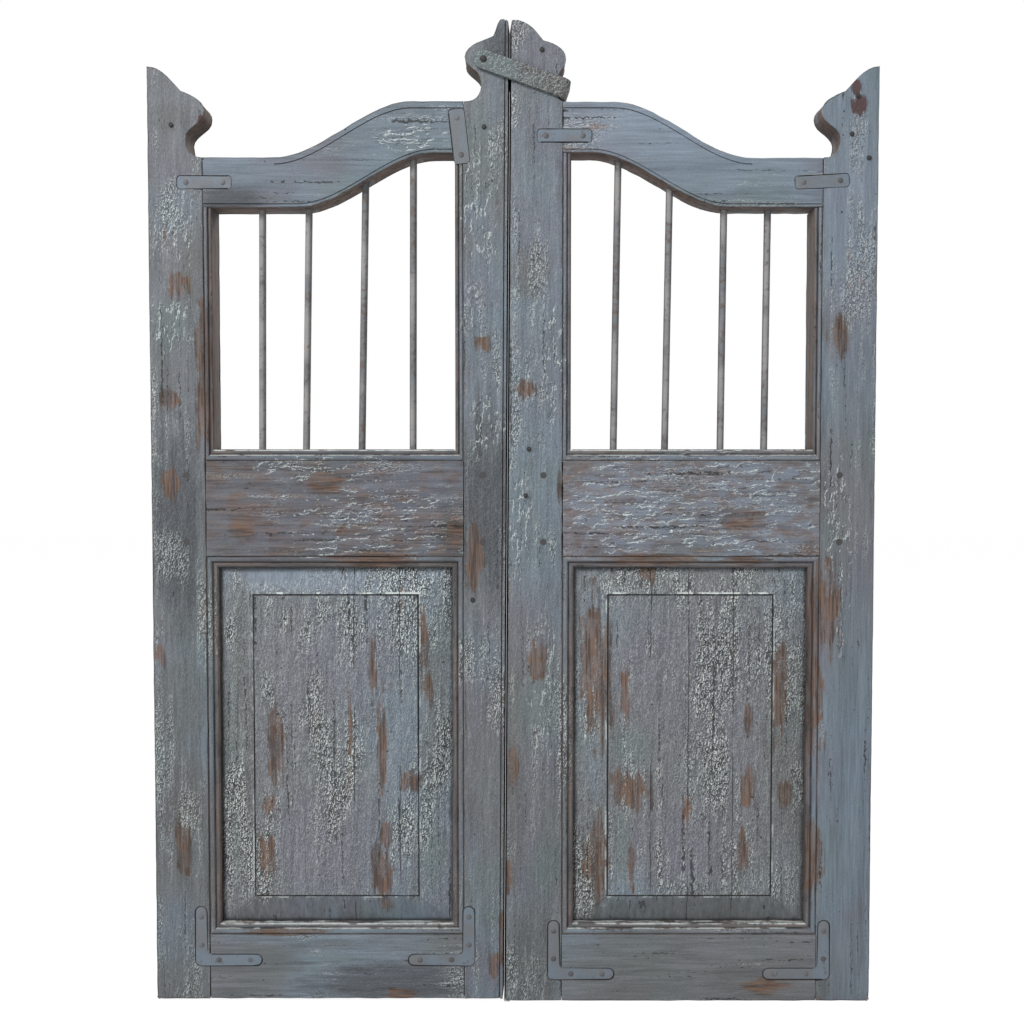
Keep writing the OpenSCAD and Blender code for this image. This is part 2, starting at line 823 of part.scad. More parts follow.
// Room in the stile's edge for a hinge plate
module hinge_seat(z) {
    translate([
        -overrun,
        back_y - hinge_plate_w - wood_clear,
        z - hinge_h / 2 - wood_clear,
    ])
        cube([
            overrun + hinge_plate_t,
            hinge_plate_w + wood_clear + overrun,
            hinge_h + 2 * wood_clear,
        ]);
}

// The two screws of a hinge plate, driven in from the stile's edge
module hinge_screw_set(z, room) {
    for (s = [-1, 1])
        translate([0, back_y - hinge_plate_w / 2, z + s * hinge_screw_spacing / 2])
            rotate([0, 90, 0])
                union() {
                    cylinder(h = hinge_plate_t + screw_l + room, r = screw_r + room);
                    cylinder(h = hinge_plate_t, r1 = screw_head_r + room, r2 = screw_r + room);
                }
}

// Knuckle of a hinge, from z upwards
module knuckle(z, h) {
    translate([axis_u, axis_y, z]) cylinder(h = h, r = barrel_r);
}

// Room round the other plate's knuckle
module knuckle_room(z, h) {
    translate([axis_u, axis_y, z - knuckle_gap])
        cylinder(h = h + 2 * knuckle_gap, r = barrel_r + knuckle_gap);
}

module pin_bore(z) {
    translate([axis_u, axis_y, z - hinge_h / 2 - overrun])
        cylinder(h = hinge_h + 2 * overrun, r = pin_r + run_clear);
}

// Flat of a hinge plate, its face at u and running to the barrel
module hinge_flat(u, z) {
    translate([u, back_y - hinge_plate_w, z - hinge_h / 2])
        cube([hinge_plate_t, hinge_plate_w + axis_y - back_y, hinge_h]);
}

// Plate on the stile, with the middle knuckle
module stile_plate(z) {
    color(iron)
        difference() {
            union() {
                difference() {
                    hinge_flat(0, z);
                    knuckle_room(z - hinge_h / 2, knuckle_h - knuckle_gap);
                    knuckle_room(z + knuckle_h / 2 + knuckle_gap, knuckle_h - knuckle_gap);
                }
                knuckle(z - knuckle_h / 2 + knuckle_gap / 2, knuckle_h - knuckle_gap);
            }
            pin_bore(z);
            hinge_screw_set(z, wood_clear);
        }
}

// Plate on the door frame's jamb, with the outer two knuckles
module jamb_plate(z) {
    color(iron)
        difference() {
            union() {
                difference() {
                    hinge_flat(-hinge_gap - hinge_plate_t, z);
                    knuckle_room(z - knuckle_h / 2, knuckle_h);
                }
                knuckle(z - hinge_h / 2, knuckle_h - knuckle_gap);
                knuckle(z + knuckle_h / 2 + knuckle_gap, knuckle_h - knuckle_gap);
            }
            pin_bore(z);
            for (s = [-1, 1])
                translate([
                    -hinge_gap - hinge_plate_t - overrun,
                    back_y - hinge_plate_w / 2,
                    z + s * hinge_screw_spacing / 2,
                ])
                    rotate([0, 90, 0]) cylinder(h = hinge_plate_t + 2 * overrun, r = jamb_hole_r);
        }
}

module hinge_pin(z) {
    color(iron)
        translate([axis_u, axis_y, z - hinge_h / 2])
            union() {
                cylinder(h = hinge_h + pin_head_h, r = pin_r);
                translate([0, 0, hinge_h]) cylinder(h = pin_head_h, r = pin_head_r);
            }
}

module hinge_screws(side) {
    color(iron) for (z = [upper_z(side), lower_z(side)]) hinge_screw_set(z, 0);
}

// Nail right through the left meeting stile and both runs of the strap, headed at each end
module latch_nail() {
    span = leaf_t + 2 * (strap_clear + strap_t);
    shank = span + nail_head_h;
    color(iron)
        union() {
            across([nail_u, nail_z], nail_r, -shank / 2, shank);
            for (a = [90, -90])
                translate([nail_u, 0, nail_z])
                    rotate([a, 0, 0])
                        translate([0, 0, span / 2]) dome(nail_head_r, nail_head_h);
        }
}

// Outline of the strap seen along its width: two runs joined by a bend
module strap_bend(reach, half_h, r) {
    union() {
        translate([0, -half_h]) square([reach - r, 2 * half_h]);
        translate([0, -half_h + r]) square([reach, 2 * (half_h - r)]);
        for (s = [-1, 1]) translate([reach - r, s * (half_h - r)]) circle(r = r);
    }
}

// Strap loop, nailed to the left meeting stile and hung over the right one's neck
module latch_strap() {
    inside = leaf_t / 2 + strap_clear;
    color(leather)
        translate([nail_u, 0, nail_z])
            rotate([0, strap_slope, 0])
                difference() {
                    union() {
                        translate([0, 0, -strap_w / 2])
                            linear_extrude(strap_w)
                                strap_bend(strap_reach + strap_t, inside + strap_t, strap_bend_r + strap_t);
                        rotate([90, 0, 0])
                            cylinder(h = 2 * (inside + strap_t), r = strap_w / 2, center = true);
                    }
                    translate([0, 0, -strap_w / 2 - overrun])
                        linear_extrude(strap_w + 2 * overrun)
                            union() {
                                strap_bend(strap_reach, inside, strap_bend_r);
                                translate([-strap_w, -inside]) square([strap_w, 2 * inside]);
                            }
                    rotate([90, 0, 0])
                        cylinder(
                            h = 2 * (inside + strap_t + overrun),
                            r = nail_r + run_clear,
                            center = true
                        );
                }
}

on(LEFT) jamb_plate(upper_z(LEFT));  // left_upper_jamb_plate
on(LEFT) jamb_plate(lower_z(LEFT));  // left_lower_jamb_plate
on(RIGHT) jamb_plate(upper_z(RIGHT));  // right_upper_jamb_plate
on(RIGHT) jamb_plate(lower_z(RIGHT));  // right_lower_jamb_plate
on(LEFT) hinge_pin(upper_z(LEFT));  // left_upper_hinge_pin
on(LEFT) hinge_pin(lower_z(LEFT));  // left_lower_hinge_pin
on(RIGHT) hinge_pin(upper_z(RIGHT));  // right_upper_hinge_pin
on(RIGHT) hinge_pin(lower_z(RIGHT));  // right_lower_hinge_pin
on(LEFT) hinge_stile(LEFT);  // left_hinge_stile
on(LEFT) meeting_stile(LEFT);  // left_meeting_stile
on(LEFT) arched_rail(LEFT);  // left_arched_rail
on(LEFT) lock_rail(LEFT);  // left_lock_rail
on(LEFT) bottom_rail(LEFT);  // left_bottom_rail
on(LEFT) panel();  // left_panel
on(LEFT) bar(LEFT, 0);  // left_bar_1
on(LEFT) bar(LEFT, 1);  // left_bar_2
on(LEFT) bar(LEFT, 2);  // left_bar_3
on(LEFT) bar(LEFT, 3);  // left_bar_4
on(LEFT) mending_plate(LEFT, true);  // left_outer_plate
on(LEFT) mending_plate(LEFT, false);  // left_inner_plate
on(LEFT) corner_iron(LEFT, true);  // left_outer_corner_iron
on(LEFT) corner_iron(LEFT, false);  // left_inner_corner_iron
on(LEFT) pegs();  // left_pegs
on(LEFT) screws(LEFT);  // left_screws
on(LEFT) stile_plate(upper_z(LEFT));  // left_upper_stile_plate
on(LEFT) stile_plate(lower_z(LEFT));  // left_lower_stile_plate
on(LEFT) hinge_screws(LEFT);  // left_hinge_screws
on(LEFT) latch_nail();
on(LEFT) latch_strap();
on(RIGHT) hinge_stile(RIGHT);  // right_hinge_stile
on(RIGHT) meeting_stile(RIGHT);  // right_meeting_stile
on(RIGHT) arched_rail(RIGHT);  // right_arched_rail
on(RIGHT) lock_rail(RIGHT);  // right_lock_rail
on(RIGHT) bottom_rail(RIGHT);  // right_bottom_rail
on(RIGHT) panel();  // right_panel
on(RIGHT) bar(RIGHT, 0);  // right_bar_1
on(RIGHT) bar(RIGHT, 1);  // right_bar_2
on(RIGHT) bar(RIGHT, 2);  // right_bar_3
on(RIGHT) bar(RIGHT, 3);  // right_bar_4
on(RIGHT) mending_plate(RIGHT, true);  // right_outer_plate
on(RIGHT) mending_plate(RIGHT, false);  // right_inner_plate
on(RIGHT) corner_iron(RIGHT, true);  // right_outer_corner_iron
on(RIGHT) corner_iron(RIGHT, false);  // right_inner_corner_iron
on(RIGHT) pegs();  // right_pegs
on(RIGHT) screws(RIGHT);  // right_screws
on(RIGHT) stile_plate(upper_z(RIGHT));  // right_upper_stile_plate
on(RIGHT) stile_plate(lower_z(RIGHT));  // right_lower_stile_plate
on(RIGHT) hinge_screws(RIGHT);  // right_hinge_screws
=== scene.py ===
"""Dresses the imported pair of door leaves: worn timber under old paint, irons, bars, hinges and strap."""

import json
import math

import bmesh
import bpy
from bpy.props import FloatProperty, FloatVectorProperty, PointerProperty
from bpy.types import Operator, Panel, PropertyGroup
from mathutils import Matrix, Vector

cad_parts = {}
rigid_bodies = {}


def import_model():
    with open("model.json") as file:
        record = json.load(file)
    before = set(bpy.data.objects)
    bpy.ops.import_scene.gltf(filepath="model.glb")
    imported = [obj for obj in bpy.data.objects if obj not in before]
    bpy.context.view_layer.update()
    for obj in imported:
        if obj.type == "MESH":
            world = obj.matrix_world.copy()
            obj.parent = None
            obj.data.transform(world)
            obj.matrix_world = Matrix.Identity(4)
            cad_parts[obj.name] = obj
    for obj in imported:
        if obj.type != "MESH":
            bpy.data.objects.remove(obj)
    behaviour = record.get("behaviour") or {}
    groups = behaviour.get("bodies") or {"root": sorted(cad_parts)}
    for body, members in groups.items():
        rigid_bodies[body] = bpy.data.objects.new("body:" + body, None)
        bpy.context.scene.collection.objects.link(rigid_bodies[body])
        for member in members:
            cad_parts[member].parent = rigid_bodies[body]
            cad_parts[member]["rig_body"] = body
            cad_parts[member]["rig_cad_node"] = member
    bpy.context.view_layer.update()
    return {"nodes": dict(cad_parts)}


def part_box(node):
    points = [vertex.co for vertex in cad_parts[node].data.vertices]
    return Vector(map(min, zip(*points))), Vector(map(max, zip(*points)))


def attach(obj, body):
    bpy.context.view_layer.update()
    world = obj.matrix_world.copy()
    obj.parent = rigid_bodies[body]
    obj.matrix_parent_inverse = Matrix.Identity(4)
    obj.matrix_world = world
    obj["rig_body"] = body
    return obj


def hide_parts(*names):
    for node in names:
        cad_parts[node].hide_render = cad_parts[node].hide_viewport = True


bl_info = {
    "name": "Old door leaves",
    "version": (1, 0, 0),
    "blender": (4, 5, 0),
    "location": "View3D > Sidebar > Door leaves",
    "description": "Dresses a packed pair of half-height door leaves",
    "category": "Object",
}

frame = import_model()

SIDES = ("left", "right")
STILES = ("hinge_stile", "meeting_stile")
RAILS = ("arched_rail", "lock_rail", "bottom_rail")
BARS = ("bar_1", "bar_2", "bar_3", "bar_4")
IRONS = ("outer_plate", "inner_plate", "outer_corner_iron", "inner_corner_iron")
HINGE_PLATES = ("upper_stile_plate", "lower_stile_plate")
HINGE_JAMBS = ("upper_jamb_plate", "lower_jamb_plate", "upper_hinge_pin", "lower_hinge_pin")

# Lengths are in metres. The leaves' front faces lie at this y
FACE_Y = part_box("left_lock_rail")[0].y
# A panel's outer edge to the edge of its field
FIELD_INSET_X = 0.060
FIELD_INSET_Z = 0.050
# Range of y at the foot of a panel's slopes, which is painted darker
PANEL_FOOT = (FACE_Y + 0.0118, FACE_Y + 0.0129)
# Range of y over which a moulding turns to wood and darker, and over which that ends towards the back
MOULDING_FRONT = (FACE_Y + 0.0012, FACE_Y + 0.0026)
MOULDING_BACK = (0.01, -0.004)
# Depth of the strip at a rail's top that holds its sill
SILL_DROP = 0.03
# Range of z over which the undersides of the heads get painted shade
HEADS = (1.2, 1.24)
# Half the width of the strip that holds the leaves' meeting edges, and the middle of their gap
MEETING_REACH = 0.032
GAP_X = (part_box("left_meeting_stile")[1].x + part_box("right_meeting_stile")[0].x) / 2.0
# Depth of the sinkings for the irons, how far it may be off, and the width of their softened rims
SEAT_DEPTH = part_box("left_outer_plate")[1].y - FACE_Y
SEAT_SLACK = 0.0001
SEAT_RIM = 0.001

# Points nearer than this are one, and faces that turn less than FLAT are one
MERGE = 1e-6
FLAT = math.radians(0.3)
# Least turn of an edge that is rubbed, and of one that stays crisp to the eye
SHARP = math.radians(50)
SMOOTH = math.radians(38)
# An edge longer than this from front to back goes through the timber, and the height of the feet
THROUGH = 0.02
FOOT_REACH = 0.006
# Narrowest face and shortest edge that are rubbed
TIMBER_FACE = 0.0036
TIMBER_EDGE = 0.003
THIN_FACE = 0.0018
IRON_EDGE = 0.0004
STRAP_EDGE = 0.0008
# Spacing of the cuts that let the surfaces bend
BAR_CUT = 0.01
IRON_CUT = 0.008
STRAP_CUT_X = 0.005
STRAP_CUT_Z = 0.006
# Sizes of the hammer marks and wrinkles, and of the nicks as a share of the hollows
HAMMER_SIZE = 0.02
WRINKLE_SIZE = 0.016
NICK_SHARE = 0.3
STRAP_ARRIS = 0.0012
# Middle level of a shift that only goes inwards
INWARDS = 0.9
# An old nail: how far its middle lies behind the face, and the width and depths of its two rings
NAIL_SIDES = 14
NAIL_RADIUS = 0.0033
NAIL_LENGTH = 0.006
NAIL_SINK = 0.0015
NAIL_RING = 0.001
NAIL_DISH = (0.0005, 0.0002)

# The photograph's camera: focal length and middle in pixels, distance from the faces, height, tilt
LENS_PX = 1065.0
MIDDLE_PX = 512.0
CAMERA_BACK = 1.513
CAMERA_X = -0.0015
CAMERA_Z = 0.7597
CAMERA_TILT = math.radians(2.0)
IMAGE_PX = 1024.0
SENSOR_MM = 36.0
# The stage; the floor doesn't glow in the gap, from the first of these distances to the second
GAP_ACROSS = (0.005, 0.0035)
GAP_ALONG = (0.0225, 0.0205)
FLOOR_SIZE = 24.0
FLOOR_DROP = 0.0005
FLOOR_GLOW = 1.1
GLOW_SHARE = 0.86
LAMP_PLACE = (-1.7, -2.5, 3.0)
BACK_LAMP_PLACE = (1.6, 2.2, 3.3)
LAMP_SIZE = (1.6, 1.2)
LAMP_AIM = Vector((0.0, 0.0, 0.75))
WHITE = (1.0, 1.0, 1.0, 1.0)


def on_face(u, v):
    """Place on the leaves' front, as x and z in metres, of a pixel of the photograph."""
    rise = MIDDLE_PX - v
    ahead = LENS_PX * math.cos(CAMERA_TILT) + rise * math.sin(CAMERA_TILT)
    share = CAMERA_BACK / ahead
    up = rise * math.cos(CAMERA_TILT) - LENS_PX * math.sin(CAMERA_TILT)
    return CAMERA_X + share * (u - MIDDLE_PX), CAMERA_Z + share * up


# Bare patches on the faces, as pixel boxes of the photograph: left, top, right, bottom
BARE = {
    "left_hinge_stile": (
        (166, 268, 188, 296), (160, 391, 183, 407), (162, 466, 182, 496), (152, 640, 166, 668),
        (196, 300, 212, 446), (176, 820, 190, 870),
    ),
    "left_meeting_stile": (
        (466, 528, 484, 588), (497, 915, 508, 960), (488, 952, 500, 976), (476, 335, 490, 352),
    ),
    "left_lock_rail": (
        (306, 472, 344, 494), (446, 516, 466, 548), (228, 512, 258, 536), (334, 524, 352, 538),
        (328, 552, 422, 567),
    ),
    "left_bottom_rail": ((384, 988, 416, 1002), (255, 928, 335, 936)),
    "left_arched_rail": ((404, 160, 434, 172), (350, 190, 378, 203)),
    "left_panel": (
        (267, 715, 285, 781), (254, 832, 275, 880), (263, 796, 274, 817), (374, 848, 395, 903),
        (380, 820, 393, 852), (376, 706, 390, 788), (346, 686, 353, 764), (398, 773, 418, 791),
        (422, 674, 433, 704), (419, 606, 427, 676), (368, 640, 376, 700),
    ),
    "right_hinge_stile": (
        (808, 564, 836, 660), (804, 650, 826, 760), (800, 820, 824, 895), (830, 316, 847, 352),
    ),
    "right_meeting_stile": (
        (508, 746, 518, 784), (502, 860, 512, 898), (524, 640, 548, 682), (512, 380, 534, 398),
        (556, 470, 563, 496),
    ),
    "right_lock_rail": ((596, 554, 712, 566), (718, 556, 767, 566), (722, 510, 768, 536)),
    "right_bottom_rail": ((742, 978, 790, 994),),
    "right_panel": (
        (580, 604, 610, 746), (582, 826, 611, 897), (610, 772, 646, 810), (620, 670, 632, 722),
        (681, 785, 694, 832), (741, 768, 755, 818), (736, 820, 749, 872), (628, 838, 636, 888),
        (770, 642, 790, 740), (778, 782, 794, 808), (744, 702, 753, 738), (640, 566, 656, 584),
    ),
}
# Stretches of paint that lean to one colour, as pixel boxes of the photograph
TINTS = {
    "left_hinge_stile": {
        "dull": ((168, 752, 202, 888), (150, 660, 206, 744), (153, 104, 184, 132), (178, 244, 207, 300)),
        "dark_stretch": ((150, 425, 206, 622),),
        "green": ((146, 300, 186, 345), (152, 735, 166, 800)),
        "blue": ((150, 896, 200, 960), (150, 180, 200, 236)),
    },
    "left_meeting_stile": {
        "dark_stretch": ((456, 418, 512, 590), (486, 22, 510, 60)),
        "green": ((484, 905, 500, 932),),
        "blue": ((470, 640, 506, 690), (466, 196, 490, 236)),
    },
    "left_arched_rail": {
        "plum": ((296, 154, 346, 178),),
        "dark_stretch": ((196, 186, 260, 212),),
        "blue": ((330, 104, 440, 150), (200, 160, 300, 186)),
    },
    "left_lock_rail": {
        "dull": ((205, 462, 240, 480), (228, 505, 262, 530), (290, 462, 350, 500)),
        "plum": ((200, 452, 330, 560), (320, 452, 470, 560)),
        "dark_stretch": ((436, 506, 466, 560),),
    },
    "left_bottom_rail": {"dull": ((206, 938, 300, 1004),), "dark_stretch": ((300, 964, 460, 1004),)},
    "left_panel": {
        "green": ((225, 650, 240, 870), (420, 824, 446, 890)),
        "clean": ((226, 566, 430, 592),),
        "dull": ((421, 640, 450, 800), (226, 590, 254, 880)),
        "plum": ((270, 600, 410, 700), (300, 790, 400, 900)),
    },
    "right_hinge_stile": {
        "clean": ((826, 130, 884, 330),),
        "blue": ((820, 580, 880, 800),),
        "dull": ((824, 312, 852, 350), (806, 930, 830, 1000)),
    },
    "right_meeting_stile": {
        "dull": ((508, 250, 546, 296), (508, 640, 520, 900), (510, 920, 556, 1004)),
        "green": ((518, 680, 562, 730), (530, 840, 560, 890)),
    },
    "right_arched_rail": {"plum": ((574, 142, 616, 156),), "clean": ((570, 104, 720, 160),)},
    "right_lock_rail": {
        "plum": ((550, 452, 690, 560), (680, 452, 820, 560)),
        "clean": ((566, 462, 700, 550), (690, 462, 815, 550)),
    },
    "right_bottom_rail": {"dull": ((556, 938, 700, 1010), (700, 950, 816, 1010))},
    "right_panel": {
        "blue": ((586, 740, 604, 800),),
        "dull": ((590, 570, 790, 592), (768, 720, 803, 830), (596, 895, 804, 932), (578, 870, 606, 930)),
        "plum": ((620, 600, 760, 740), (640, 800, 750, 890)),
        "green": ((612, 726, 650, 768), (614, 810, 630, 880)),
    },
}
# Where the paint flakes most, and where it lies smooth, as pixel boxes of the photograph
FLAKING = {
    "left_lock_rail": ((300, 488, 456, 558), (250, 456, 332, 480), (344, 456, 396, 478)),
    "left_meeting_stile": ((464, 150, 494, 262), (466, 280, 486, 330), (466, 396, 500, 452)),
    "left_arched_rail": ((380, 116, 440, 156),),
    "right_lock_rail": ((556, 452, 812, 556),),
    "right_meeting_stile": ((540, 296, 562, 424), (506, 470, 530, 570), (530, 620, 556, 740)),
    "left_hinge_stile": ((150, 196, 196, 262), (146, 300, 190, 350)),
    "right_hinge_stile": ((828, 450, 850, 620),),
}
CALM = {
    "left_panel": ((232, 898, 446, 934), (236, 560, 300, 584)),
    "right_panel": ((584, 896, 806, 936),),
    "right_hinge_stile": ((830, 640, 884, 1000),),
    "left_bottom_rail": ((200, 934, 330, 1004),),
}
# Dried dark red patches where the face has split away
RED = {
    "right_hinge_stile": ((852, 78, 862, 100), (850, 92, 868, 118)),
    "left_hinge_stile": ((196, 112, 208, 140),),
}
# Fine splits down the panels
SPLITS = {"left_panel": (290, 353, 399), "right_panel": (652, 690, 735)}
# Each timber: where its own part of the patterns lies, how far it leans from grey to blue,
# how light its paint is and how much crackle it has, with painted highlights on its rims
TIMBERS = {
    "left_hinge_stile": ((1.7, 0.3, 5.2), -0.02, 0.86, 0.6),
    "left_meeting_stile": ((4.1, 0.8, 2.6), 0.02, 0.87, 0.65),
    "left_arched_rail": ((7.3, 0.2, 1.4), 0.08, 0.88, 0.35),
    "left_lock_rail": ((2.9, 0.6, 8.3), -0.05, 0.74, 0.35),
    "left_bottom_rail": ((5.5, 0.1, 3.7), -0.05, 1.04, 0.5),
    "left_panel": ((8.6, 0.4, 6.9), 0.0, 0.97, 1.0),
    "right_hinge_stile": ((3.3, 0.9, 7.1), 0.1, 0.92, 0.4),
    "right_meeting_stile": ((6.2, 0.5, 4.4), 0.0, 0.89, 0.7),
    "right_arched_rail": ((9.4, 0.7, 2.2), 0.2, 1.02, 0.25),
    "right_lock_rail": ((1.2, 0.2, 9.6), 0.0, 0.94, 0.4),
    "right_bottom_rail": ((4.8, 0.6, 5.9), -0.1, 1.04, 0.4),
    "right_panel": ((7.9, 0.3, 1.1), -0.03, 0.98, 0.95),
}
# Old nails on the faces: pixel of the photograph and the leaf that holds it
NAILS = (
    (542, 49.7, "right_leaf"), (529, 449, "right_leaf"), (525.5, 495.5, "right_leaf"),
    (858, 96, "right_leaf"), (852, 134, "right_leaf"), (869, 158, "right_leaf"),
    (472.5, 600, "left_leaf"), (171, 125, "left_leaf"), (484, 127, "left_leaf"),
)


def linear(red, green, blue):
    """A colour written as 0 to 255 display values, for a shader."""
    out = []
    for part in (red, green, blue):
        c = part / 255.0
        out.append(c / 12.92 if c <= 0.04045 else ((c + 0.055) / 1.055) ** 2.4)
    return tuple(out)


def colour_of(name, description, red, green, blue):
    """A colour setting, with its default as 0 to 255 display values."""
    return FloatVectorProperty(
        name=name, description=description, default=linear(red, green, blue),
        subtype="COLOR", size=3, min=0.0, max=1.0,
    )


def length_of(name, description, default, least, most, precision=4):
    """A length setting in metres."""
    return FloatProperty(
        name=name, description=description, default=default, min=least, max=most,
        unit="LENGTH", precision=precision,
    )


def power_of(name, description, default):
    """A lamp's power setting in watts."""
    return FloatProperty(
        name=name, description=description, default=default, min=0.0, max=500.0, subtype="POWER",
    )


class TimberLook(PropertyGroup):
    """How the timber is worn."""

    arris: length_of("Worn arris", "Width of the rubbed edges", 0.0013, 0.0002, 0.004)
    cut: length_of("Cut spacing", "Spacing of the cuts that let the faces bend", 0.014, 0.006, 0.05)
    dent: length_of("Unevenness", "Depth of the hollows in the faces", 0.0011, 0.0, 0.004)
    dent_size: length_of("Size of hollows", "Size of the hollows in the faces", 0.045, 0.01, 0.2, 3)
    nick: length_of("Nicks", "Depth of the nicks in the edges", 0.0022, 0.0, 0.006)


class PaintColours(PropertyGroup):
    """Colours of the old paint and of what shows through it, and of the painted highlights and painted
    shade.
    """

    blue: colour_of("Blue paint", "Paint where it is cleanest", 114, 127, 139)
    grey: colour_of("Grey paint", "Paint where it has faded", 111, 114, 119)
    green: colour_of("Green paint", "Greener patches of the paint", 106, 120, 121)
    plum: colour_of("Plum paint", "Redder patches of the paint", 112, 111, 122)
    dull: colour_of("Dull paint", "Paint thinned to a brown grey", 98, 100, 99)
    # Darker stretches of the paint
    dark_stretch: colour_of("Stained paint", "Paint darkened by handling and smoke", 78, 82, 88)
    clean: colour_of("Clean paint", "Paint kept lightest", 128, 140, 155)
    # Also the colour of the painted highlights on flake rims, edges and the rims of the irons' sinkings
    pale_and_highlight: colour_of("Pale flakes", "Raised rims of the flakes", 222, 230, 228)
    bare: colour_of("Bare wood", "Wood where the paint is gone", 122, 95, 78)
    dark: colour_of("Dark wood", "Dark grain of the bare wood", 74, 62, 56)
    red: colour_of("Dried red", "Dark red where the face has split away", 72, 44, 42)
    # Also the colour of the painted shade on edges, flake rims, window sides, the meeting gap and under
    # the heads
    grime_and_shade: colour_of("Grime", "Dirt in the sunk places", 38, 37, 37)


class IronLook(PropertyGroup):
    """How the irons are worn."""

    arris: length_of("Worn edge", "Width of the irons' rubbed edges", 0.0012, 0.0001, 0.0015)
    dent: length_of("Hammer marks", "Depth of the hammer marks", 0.0007, 0.0, 0.002)
    coat: colour_of("Grey coat", "Old paint on the irons", 114, 117, 121)
    bar: colour_of("Bars", "Worn paint on the window bars", 150, 148, 147)
    rust: colour_of("Rust", "Brown rust", 104, 88, 78)
    metal: colour_of("Old iron", "Dark iron", 84, 84, 86)


class StrapLook(PropertyGroup):
    """How the strap is worn."""

    hide: colour_of("Weathered hide", "Hide where it was never painted", 116, 116, 116)
    crack: colour_of("Cracks", "Cracks in the hide", 66, 66, 67)
    coat: colour_of("Painted end", "Paint on the strap's nailed end", 100, 108, 111)
    wrinkle: length_of("Wrinkles", "Depth of the strap's wrinkles", 0.0008, 0.0, 0.003)


class StageLook(PropertyGroup):
    """Floor and light."""

    floor: FloatVectorProperty(
        name="Floor", description="Colour of the floor", subtype="COLOR",
        size=3, min=0.0, max=1.0, default=(0.86, 0.86, 0.86),
    )
    sky: FloatProperty(
        name="Sky", description="Strength of the light from all round", default=0.4, min=0.0, max=2.0,
    )
    lamp: power_of("Lamp", "Power of the broad lamp in front", 95.0)
    back_lamp: power_of("Back lamp", "Power of the broad lamp behind", 60.0)


class Sock:
    """A shader socket that can stand in sums."""

    def __init__(self, shade, socket):
        self.shade = shade
        self.socket = socket

    def work(self, operation, left, right):
        return self.shade.add("ShaderNodeMath", {"operation": operation}, {0: left, 1: right})

    def __add__(self, other):
        return self.work("ADD", self, other)

    def __radd__(self, other):
        return self.work("ADD", other, self)

    def __sub__(self, other):
        return self.work("SUBTRACT", self, other)

    def __rsub__(self, other):
        return self.work("SUBTRACT", other, self)

    def __mul__(self, other):
        return self.work("MULTIPLY", self, other)

    def __rmul__(self, other):
        return self.work("MULTIPLY", other, self)

    def __abs__(self):
        return self.shade.add("ShaderNodeMath", {"operation": "ABSOLUTE"}, {0: self})

    def most(self, other):
        return self.work("MAXIMUM", self, other)

    def least(self, other):
        return self.work("MINIMUM", self, other)


